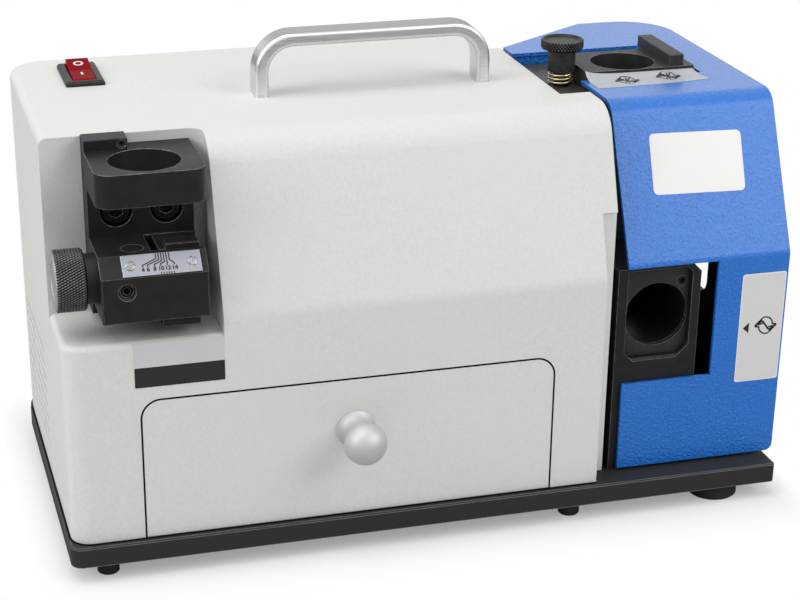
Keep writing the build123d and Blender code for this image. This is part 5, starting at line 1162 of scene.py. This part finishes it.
@dataclass
class BaseShadowStrip:
    """A black strip round the foot of the housing, a painted contact shadow where it stands on the plate."""

    width: float = 1.1 * MM
    overlap: float = 0.1 * MM
    thickness: float = 0.4 * MM
    front_radius: float = 10.0 * MM
    front_steps: int = 16
    rear_radius: float = 20.0 * MM
    rear_steps: int = 24
    right_gap: float = 8.2 * MM

    def build(self) -> list[Piece]:
        """Carry a flat oblong along the front, round the left end and along the back.

        Returns:
            The strip.
        """
        low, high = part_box("housing_shell")
        out = self.width / 2 - self.overlap
        left, right = low.x, high.x - self.right_gap
        front = (left + self.front_radius, low.y + self.front_radius)
        rear = (left + self.rear_radius, high.y - self.rear_radius)
        line = np.concatenate([[(right, low.y - out)],
                               arc_line(self.front_radius + out, 270, 180, self.front_steps, front),
                               arc_line(self.rear_radius + out, 180, 90, self.rear_steps, rear),
                               [(right - self.rear_radius, high.y + out)]])
        shape = Shape()
        shape.ribbon(line, self.width, Patch(UP * low.z, RIGHT, BACK), self.thickness)
        # A near-black painted contact shadow at the housing's foot.
        return [shape.piece("base_shadow_strip", "frame", "foot_rubber", SHADOW_BLACK)]


@dataclass
class BoreRim:
    """A thin rim that finishes the bore of a chuck holder, about the axis of the record's seat.

    Outward is 1 where the bore opens towards the end of its axis, and -1 where it opens towards the start.
    """

    name: str
    body: str
    node: str
    seat: str
    lathe: Lathe
    outward: int
    wall: float
    depth: float
    finish: Finish
    bore_radius: float = 17.0 * MM
    clearance: float = 0.005 * MM
    proud: float = 0.02 * MM
    columns: int = 160

    def build(self) -> list[Piece]:
        """Turn a thin oblong section about the bore's axis.

        Returns:
            The rim.
        """
        seats = {mount["name"]: Vector(mount["pos_m"]) for mount in frame["record"]["mounts"]}
        low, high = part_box(self.node)
        end = (high if self.outward > 0 else low)[self.lathe.value[0]] + self.outward * self.proud
        back = end - self.outward * self.depth
        inner = self.bore_radius + self.clearance
        outer = inner + self.wall
        profile = np.array([(back, inner), (end, inner), (end, outer), (back, outer), (back, inner)])
        shape = Shape()
        rim = self.lathe.turn(profile[:, 0], profile[:, 1], self.columns, seats[self.seat])
        shape.grid(rim, caps=False)
        return [shape.piece(self.name, self.body, "black_oxide", self.finish)]


TOP_RIM = BoreRim("top_bore_rim", body="carrier", node="top_holder", seat="top_seat",
                  lathe=Lathe.Z, outward=1, wall=0.35 * MM, depth=8.0 * MM, finish=OXIDE_Y)
FACE_RIM = BoreRim("face_bore_rim", body="frame", node="front_face_plate", seat="front_seat",
                   lathe=Lathe.Y, outward=-1, wall=0.13 * MM, depth=2.2 * MM, finish=OXIDE_X)


@dataclass
class ScalePlate:
    """The print and the slotted screws of the scale on the setting block.

    Places of the print are in millimetres from the middle of the plate.
    """

    ink_height: float = 0.04 * MM
    line_width: float = 0.58 * MM
    stroke: float = 0.14 * MM
    figure_height: float = 1.95 * MM
    figure_level: float = -2.55 * MM
    figures: tuple[str, ...] = ("4", "6", "8", "10", "12", "14")
    figure_places: tuple[float, ...] = (-8.9, -6.5, -3.4, -0.5, 2.7, 5.9)
    knees: tuple[float, ...] = (2.7, 2.0, 1.3, 0.7, 1.0, 1.6)
    knee_foot: float = -0.2
    leader_start: float = -2.2
    leader_step: float = 1.22
    leader_foot: float = -1.15
    tick_shift: float = 1.5
    tick_length: float = 1.0
    edge_gap: float = 0.1
    thickness: float = 0.8 * MM
    solid_head_radius: float = 1.8 * MM
    screw_radius: float = 2.4 * MM
    screw_rise: float = 0.8 * MM
    screw_fall: float = 0.55
    screw_crease: float = 40.0
    slot_width: float = 0.7 * MM
    slot_wall: float = 0.001
    slot_depth: float = 0.45 * MM
    slot_turns: Pair = (0.5, 1.3)
    half_rows: int = 12
    inner_columns: int = 25
    rim_share: float = 0.985

    def face(self) -> Patch:
        """The outer face of the plate, which leans back at 45 degrees, with its middle at the origin."""
        low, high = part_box("scale_plate")
        half = math.sqrt(0.5)
        out = Vector((0.0, -half, half))
        return Patch((low + high) / 2 + out * self.thickness / 2, RIGHT, Vector((0, half, half)))

    def build(self) -> list[Piece]:
        """Make the print and the screws.

        Returns:
            The print and the screw heads.
        """
        patch = self.face()
        return [self.leaders(patch), self.screws(patch)]

    def leaders(self, patch: Patch) -> Piece:
        """Draw six leaders from the top edge to their figures, and a row of ticks.

        Args:
            patch: The face of the plate.

        Returns:
            The print.
        """
        low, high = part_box("scale_plate")
        edge = (high.z - low.z - self.thickness * math.sqrt(0.5)) / math.sqrt(2.0) / MM - self.edge_gap
        tops = self.leader_start + self.leader_step * np.arange(len(self.figures))
        shape = Shape()
        for top, knee, place, figure in zip(tops, self.knees, self.figure_places, self.figures):
            leader = np.array([(top, edge), (top, knee), (place, self.knee_foot), (place, self.leader_foot)])
            shape.ribbon(leader * MM, self.line_width, patch, self.ink_height)
            middle = (place * MM, self.figure_level)
            shape.text(figure, self.figure_height, middle, patch, self.ink_height, self.stroke)
        for tick in tops + self.tick_shift:
            mark = np.array([(tick, -edge), (tick, self.tick_length - edge)])
            shape.ribbon(mark * MM, self.line_width, patch, self.ink_height)
        return shape.piece("scale_print", "frame", "scale_aluminium", INK)

    def screws(self, patch: Patch) -> Piece:
        """Two pan heads: the height falls with the square of the radius, and a slot is cut straight across.

        Args:
            patch: The face of the plate.

        Returns:
            The screw heads.
        """
        low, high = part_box("scale_screws")
        reach = (high.x - low.x) / 2 - self.solid_head_radius
        slot = self.slot_width / 2
        outside = np.linspace(slot, self.screw_radius, self.half_rows)[1:]
        right = np.concatenate([slot * np.array([1.0 - self.slot_wall, 1.0 + self.slot_wall]), outside])
        across = np.concatenate([-right[::-1], right])
        share = np.linspace(-self.rim_share, self.rim_share, self.inner_columns)
        half = np.sqrt(np.maximum(self.screw_radius**2 - across**2, 0.0))
        along = half[:, None] * np.concatenate([[-1.0], share, [1.0]])[None, :]
        spread = np.hypot(along, across[:, None]) / self.screw_radius
        height = self.screw_rise * (1.0 - self.screw_fall * spread**2)
        height = np.where(np.abs(across)[:, None] < slot, height - self.slot_depth, height)
        height = np.where(spread > 1.0 - self.slot_wall, 0.0, height)
        shape = Shape()
        for side, turn in zip((-1.0, 1.0), self.slot_turns):
            flat = np.stack([side * reach + along * math.cos(turn) - across[:, None] * math.sin(turn),
                             along * math.sin(turn) + across[:, None] * math.cos(turn), height], axis=-1)
            shape.grid(patch.lift(flat), wrap=False, caps=False)
        heads = shape.piece("slotted_scale_screws", "frame", "zinc_steel", SCALE_SCREW, self.screw_crease)
        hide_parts("scale_screws")
        return heads


@dataclass
class RockerMarks:
    """The white ring and bar on the switch's rocker."""

    tilt: float = 6.0
    rise: float = 3.4 * MM
    half_length: float = 15.5 * MM
    half_rise: float = 1.0 * MM
    ring_radius: float = 2.1 * MM
    ring_width: float = 1.0 * MM
    ring_place: float = 8.6 * MM
    ring_steps: int = 49
    bar_length: float = 4.2 * MM
    bar_width: float = 1.1 * MM
    bar_place: float = -5.2 * MM
    ink_height: float = 0.05 * MM

    def half(self, side: int) -> Patch:
        """One half of the rocker's top, above its pivot.

        Args:
            side: 1 for the rear half and -1 for the front one.

        Returns:
            The half, with its crease at the origin.
        """
        pivot = next(Vector(joint["pos_m"]) for joint in frame["joints"] if joint["child"] == "rocker")
        tilt = math.radians(self.tilt)
        crease = pivot + Vector((0, -math.sin(tilt) * self.rise, math.cos(tilt) * self.rise))
        angle = tilt + side * math.atan2(self.half_rise, self.half_length)
        return Patch(crease, RIGHT, Vector((0, math.cos(angle), math.sin(angle))))

    def build(self) -> list[Piece]:
        """Draw a ring on the raised rear half and a bar on the front half.

        Returns:
            The marks.
        """
        ring = arc_line(self.ring_radius, 0, 360, self.ring_steps, (0, self.ring_place))
        bar = np.array([(0, self.bar_place + side * self.bar_length / 2) for side in (-1, 1)])
        shape = Shape()
        shape.ribbon(ring, self.ring_width, self.half(1), self.ink_height)
        shape.ribbon(bar, self.bar_width, self.half(-1), self.ink_height)
        return [shape.piece("rocker_marks", "rocker", "red_plastic", WHITE_INK)]


@dataclass(frozen=True)
class LabelStock:
    """What the label plates are made of: a film and the ink on it, by thickness."""

    film: float = 0.16 * MM
    ink: float = 0.03 * MM


STOCK = LabelStock()


@dataclass(frozen=True)
class CutterView:
    """The end view of a cutter, in ink: two lobes, two blades, two dark flutes, a core and further edges.

    Places and widths of its lines are shares of its radius. Each line but the core is drawn once as it is and
    once turned by half a turn about the middle.
    """

    middle: Pair
    radius: float
    edge_angles: tuple[float, ...] = ()
    edge_reach: Pair = (0.1, 0.78)
    edge_width: float = 0.16
    lobe_arc: tuple[float, float, float] = (0.86, 110, 2)
    lobe_middle: Pair = (-0.08, 0.1)
    lobe_ends: tuple[Pair, Pair] = ((-1.27, 0.03), (1.27, 0.06))
    lobe_width: float = 0.16
    blade: tuple[Pair, Pair] = ((-1.2, 0.02), (-0.22, 0.28))
    blade_width: float = 0.15
    flute: tuple[Pair, Pair] = ((-0.95, 0.24), (-0.42, 0.62))
    flute_width: float = 0.34
    core: tuple[Pair, Pair] = ((-0.38, 0.52), (0.38, -0.52))
    core_width: float = 0.2
    steps: int = 12

    def draw(self, ink: Shape, patch: Patch) -> None:
        """Draw the view.

        Args:
            ink: The shape that takes the lines.
            patch: The place that they lie on.
        """
        lobe = np.concatenate([self.lobe_ends[:1], arc_line(*self.lobe_arc, middle=self.lobe_middle),
                               self.lobe_ends[1:]])
        angles = np.radians(np.array(self.edge_angles))
        rays = np.stack([np.cos(angles), np.sin(angles)], axis=-1)
        edges = rays[:, None] * np.array(self.edge_reach)[:, None]
        twice = [(lobe, self.lobe_width), (self.blade, self.blade_width), (self.flute, self.flute_width),
                 *((edge, self.edge_width) for edge in edges)]
        lines = [(turn * np.array(line), width) for line, width in twice for turn in (1, -1)]
        for line, width in (*lines, (np.array(self.core), self.core_width)):
            points = run_line(self.radius * line, self.radius / self.steps) + np.array(self.middle)
            ink.ribbon(points, width * self.radius, patch, STOCK.ink, STOCK.film)


@dataclass
class FrontLabel:
    """The two-tone plate below the setting station."""

    middle: float = -130.9 * MM
    width: float = 43.4 * MM
    bottom: float = 100.0 * MM
    seam: float = 110.2 * MM
    top: float = 122.4 * MM
    corner: float = 0.4 * MM

    def build(self) -> list[Piece]:
        """Lay a light plate over a dark one.

        Returns:
            The two plates.
        """
        plates = []
        for name, finish, low, high in (("light", LIGHT_FILM, self.seam, self.top),
                                        ("dark", DARK_FILM, self.bottom, self.seam)):
            shape = Shape()
            patch = front_patch("drawer_front", self.middle, (low + high) / 2)
            shape.plate(rounded_oblong(self.width, high - low, self.corner), patch, STOCK.film)
            plates.append(shape.piece(f"front_label_{name}", "frame", "housing_paint", finish))
        return plates


@dataclass
class SlopeLabel:
    """The white plate with rounded corners on the guard's slope; turn is its slant in degrees."""

    size: Pair = (49.8 * MM, 31.0 * MM)
    corner: float = 2.6 * MM
    level: float = 178.1 * MM
    turn: float = -1.6
    slope_foot: Point = (142.3 * MM, -76.5 * MM, 133.2 * MM)
    slope_back: float = 36.4 * MM
    slope_rise: float = 75.3 * MM

    def build(self) -> list[Piece]:
        """Lay the plate on the slope, up from the slope's foot to the plate's level.

        Returns:
            The plate.
        """
        lean, turn = math.atan2(self.slope_back, self.slope_rise), math.radians(self.turn)
        up = Vector((0, math.sin(lean), math.cos(lean)))
        middle = Vector(self.slope_foot) + up * ((self.level - self.slope_foot[2]) / math.cos(lean))
        patch = Patch(middle, RIGHT * math.cos(turn) + up * math.sin(turn),
                      up * math.cos(turn) - RIGHT * math.sin(turn))
        shape = Shape()
        shape.plate(rounded_oblong(*self.size, self.corner), patch, STOCK.film)
        return [shape.piece("slope_label", "guard", "guard_paint", WHITE_FILM)]


@dataclass
class SideLabel:
    """The tall grey plate with a white edge beside the guard's window, printed with an arrow and a cutter."""

    place: Pair = (174.6 * MM, 93.2 * MM)
    width: float = 24.4 * MM
    height: float = 60.0 * MM
    corner: float = 1.4 * MM
    edge: float = 0.6 * MM
    arrow: tuple[Pair, ...] = ((-9.9 * MM, 0.2 * MM), (-6.6 * MM, -2.7 * MM), (-6.6 * MM, 3.1 * MM))
    cutter: CutterView = CutterView((2.8 * MM, 0.8 * MM), 4.8 * MM)

    def build(self) -> list[Piece]:
        """Lay a grey plate on a slightly larger white one, and print on it.

        Returns:
            The two plates and their print.
        """
        patch = front_patch("guard", *self.place)
        layer = STOCK.film / 2
        pieces = []
        for name, finish, inset, base in (("side_label_edge", WHITE_FILM, 0.0, 0.0),
                                          ("side_label", GREY_FILM, self.edge, layer)):
            shape = Shape()
            outline = rounded_oblong(self.width - 2 * inset, self.height - 2 * inset, self.corner)
            shape.plate(outline, patch, layer, base)
            pieces.append(shape.piece(name, "guard", "guard_paint", finish))
        ink = Shape()
        ink.plate(np.array(self.arrow), patch, STOCK.ink, STOCK.film)
        self.cutter.draw(ink, patch)
        return [*pieces, ink.piece("side_label_print", "guard", "guard_paint", INK)]


@dataclass
class CurledLabel:
    """The silver plate on the strip in front of the top holder, whose rear edge curls up."""

    left: float = 102.4 * MM
    left_lean: float = 0.5 * MM
    right: float = 166.2 * MM
    right_lean: float = 3.9 * MM
    front: float = -16.2 * MM
    front_fall: float = 3.5 * MM
    rear: float = 2.0 * MM
    lift: float = 0.02 * MM
    bend: float = -6.5 * MM
    corner: float = 102.0 * MM
    rise: float = 2.0 * MM
    corner_rise: float = 2.4 * MM
    corner_reach: float = 6.0 * MM
    columns: int = 61
    rows: int = 31
    crease: float = 60.0
    cutter_middles: tuple[Pair, ...] = ((122.4 * MM, -6.2 * MM), (146.0 * MM, -4.2 * MM))
    cutter_radius: float = 5.3 * MM
    cutter_edges: tuple[float, ...] = (55, 85, 145, 165)

    def build(self) -> list[Piece]:
        """Lay a sheet over the curled patch, and print two cutters on it.

        The sheet's left and right edges are straight, and its front edge falls back with the cube of the
        distance from the left.

        Returns:
            The plate and its print.
        """
        patch = CurledPatch(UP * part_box("guard")[1].z, RIGHT, BACK, bend=self.bend, rear=self.rear,
                            left=self.corner, rise=self.rise, corner_rise=self.corner_rise,
                            corner_reach=self.corner_reach)
        across, deep = np.linspace(0, 1, self.columns)[None, :], np.linspace(0, 1, self.rows)[:, None]
        left, right = self.left - self.left_lean * deep, self.right - self.right_lean * deep
        front = self.front + self.front_fall * across**3
        x, y = left + (right - left) * across, front + (self.rear - front) * deep
        shape = Shape()
        shape.grid(patch.lift(np.stack([x, y, np.full_like(x, self.lift)], axis=-1)), wrap=False, caps=False)
        label = shape.piece("curled_label", "guard", "guard_paint", SILVER_FILM, self.crease)
        solid = label.modifiers.new("film", "SOLIDIFY")
        solid.thickness, solid.offset = STOCK.film, 1.0
        ink = Shape()
        for middle in self.cutter_middles:
            CutterView(middle, self.cutter_radius, self.cutter_edges).draw(ink, patch)
        return [label, ink.piece("curled_label_print", "guard", "guard_paint", INK)]


@dataclass
class FeedMark:
    """The curved arrow on the carrier for the turn of the feed knob, placed from the knob's axis."""

    middle: Pair = (0.2 * MM, 27.6 * MM)
    radius: float = 3.4 * MM
    start: float = -20.0
    end: float = 175.0
    width: float = 1.1 * MM
    head: tuple[Pair, ...] = ((-3.4 * MM, -2.4 * MM), (-1.2 * MM, 0.6 * MM), (-5.6 * MM, 0.6 * MM))

    def build(self) -> list[Piece]:
        """Draw an arc and a triangle at its end.

        Returns:
            The arrow.
        """
        low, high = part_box("feed_knob")
        axis = (low + high) / 2
        patch = Patch(Vector((axis.x, axis.y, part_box("top_carrier")[1].z)), RIGHT, BACK)
        ink = Shape()
        arc = arc_line(self.radius, self.start, self.end, middle=self.middle)
        ink.ribbon(arc, self.width, patch, STOCK.ink)
        ink.plate(np.array(self.head) + np.array(self.middle), patch, STOCK.ink)
        return [ink.piece("feed_arrow", "carrier", "black_oxide", DARK_FILM)]


@dataclass(frozen=True)
class Lamp:
    """A square soft lamp; its power is in watts."""

    name: str
    place: Point
    target: Point
    size: float
    power: float

    def hang(self) -> None:
        """Put the lamp in its place, facing its target."""
        light = bpy.data.lights.new(self.name, "AREA")
        light.size, light.energy = self.size, self.power
        lamp = bpy.data.objects.new(self.name, light)
        lamp.location = self.place
        lamp.rotation_euler = (Vector(self.target) - Vector(self.place)).to_track_quat("-Z", "Y").to_euler()
        bpy.context.scene.collection.objects.link(lamp)


@dataclass
class Studio:
    """The pale floor, the soft light and the camera of the photograph."""

    lamps: tuple[Lamp, ...] = (
        Lamp("key", place=(-0.5, -0.1, 1.5), target=(0.0, 0.02, 0.1), size=1.2, power=9.6),
        Lamp("left", place=(-1.6, -0.25, 1.0), target=(0.0, 0.0, 0.12), size=1.0, power=10.8),
        Lamp("front", place=(1.0, -1.05, 1.1), target=(0.1, -0.05, 0.15), size=1.0, power=10.4),
    )
    camera_place: Point = (-0.27402, -0.93081, 0.48417)
    forward: Point = (0.237746, 0.880516, -0.410082)
    right: Point = (0.965704, -0.259636, 0.002388)
    focal_pixels: float = 1970.07
    view_middle: Pair = (353.34, 383.1)
    picture: tuple[int, int] = (800, 600)
    sensor: float = 36.0
    clip: Pair = (0.05, 50.0)
    sky: float = 0.35
    low_sky: float = 0.5
    horizon: float = 0.25
    floor_half: float = 8.0
    floor_pale: float = 0.97
    floor_roughness: float = 0.7
    floor_gloss: float = 0.1
    bounce: float = 0.75
    mirrored_floor: float = 0.4
    contact_share: float = 0.3
    shadow_reach: float = 0.036
    end_pull: float = 2.2
    plate_middle: Pair = (-0.00165, 0.0074)
    plate_half: Pair = (0.186, 0.097)

    def build(self) -> None:
        """Make the floor, the lamps, the sky and the camera."""
        self.floor()
        for lamp in self.lamps:
            lamp.hang()
        self.sky_light()
        self.camera()
        bpy.context.scene.view_settings.view_transform = "Standard"

    def floor_material(self) -> bpy.types.Material:
        """A pale sheet that keeps the shadow close to the plate and is white beyond it.

        The distance from the plate's outline is the length of what is left of the place, without its signs,
        when half of the plate's size is taken off.

        Returns:
            The material.
        """
        graph = Graph("studio_floor")
        path = graph.add("ShaderNodeLightPath").outputs
        away = (-self.plate_middle[0], -self.plate_middle[1], 0.0)
        shift = graph.add("ShaderNodeMapping", {"Vector": graph.place, "Location": away}).outputs["Vector"]
        rest = graph.vector("SUBTRACT", graph.vector("ABSOLUTE", shift), (*self.plate_half, 0.0))
        rest = graph.vector("MULTIPLY", graph.vector("MAXIMUM", rest, (0, 0, 0)), (self.end_pull, 1, 1))
        reach = graph.vector("LENGTH", rest)
        tone = graph.mix(path["Is Camera Ray"], rgba(WHITE, self.bounce), rgba(WHITE, self.floor_pale))
        tone = graph.mix(path["Is Glossy Ray"], tone, rgba(WHITE, self.mirrored_floor))
        graph.set(Base_Color=tone, Roughness=self.floor_roughness, Specular_IOR_Level=self.floor_gloss)
        white = graph.add("ShaderNodeEmission", {"Color": rgba(WHITE), "Strength": 1.0})
        bright = graph.span(reach, (0.0, self.shadow_reach), self.contact_share)
        share = graph.math("MULTIPLY", path["Is Camera Ray"], bright)
        blend = graph.add("ShaderNodeMixShader", {0: share, 1: graph.shader.outputs[0], 2: white.outputs[0]})
        graph.feed(graph.tree.nodes["Material Output"].inputs["Surface"], blend.outputs[0])
        return graph.material

    def floor(self) -> None:
        """Lay a wide square sheet at bench level."""
        half = self.floor_half
        mesh = bpy.data.meshes.new("floor")
        corners = [(-half, -half, 0), (half, -half, 0), (half, half, 0), (-half, half, 0)]
        mesh.from_pydata(corners, [], [(0, 1, 2, 3)])
        mesh.materials.append(self.floor_material())
        floor = bpy.data.objects.new("floor", mesh)
        bpy.context.scene.collection.objects.link(floor)

    def sky_light(self) -> None:
        """An even white sky, plain white to the camera, which reflections see fade towards the horizon."""
        world = bpy.data.worlds.new("studio_sky")
        world.use_nodes = True
        sky = Tree(world.node_tree)
        path = sky.add("ShaderNodeLightPath").outputs
        place = sky.add("ShaderNodeTexCoord").outputs["Generated"]
        height = sky.add("ShaderNodeSeparateXYZ", {0: place}).outputs["Z"]
        mirrored = sky.span(height, (0.0, self.horizon), self.low_sky)
        strength = sky.between(path["Is Glossy Ray"], self.sky, mirrored)
        strength = sky.between(path["Is Camera Ray"], strength, 1.0)
        background = sky.tree.nodes["Background"]
        sky.feed(background.inputs["Color"], rgba(WHITE))
        sky.feed(background.inputs["Strength"], strength)
        bpy.context.scene.world = world

    def camera(self) -> None:
        """Put the camera where the photograph was taken from."""
        data = bpy.data.cameras.new("photo_camera")
        data.sensor_width = self.sensor
        data.lens = self.focal_pixels * self.sensor / self.picture[0]
        data.shift_x = (self.picture[0] / 2 - self.view_middle[0]) / self.picture[0]
        data.shift_y = (self.view_middle[1] - self.picture[1] / 2) / self.picture[0]
        data.clip_start, data.clip_end = self.clip
        camera = bpy.data.objects.new("photo_camera", data)
        back = -Vector(self.forward).normalized()
        right = Vector(self.right).normalized()
        turn = Matrix((right, back.cross(right), back)).transposed()
        camera.matrix_world = Matrix.Translation(self.camera_place) @ turn.to_4x4()
        bpy.context.scene.collection.objects.link(camera)
        bpy.context.scene.camera = camera


def main() -> None:
    """Build the studio, dress the solids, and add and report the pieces."""
    logging.basicConfig(level=logging.INFO, format="%(name)s: %(message)s")
    Studio().build()
    dress_nodes()
    for assembly in (SettingKnob(), FeedKnob(), FeedSpring(), DrawerShadowStrip(), BaseShadowStrip(), TOP_RIM, FACE_RIM,
                     ScalePlate(), RockerMarks(), FrontLabel(), SlopeLabel(), SideLabel(), CurledLabel(),
                     FeedMark()):
        for piece in assembly.build():
            log.info("%s: %d faces", piece.name, len(piece.data.polygons))


if __name__ == "__main__":
    main()
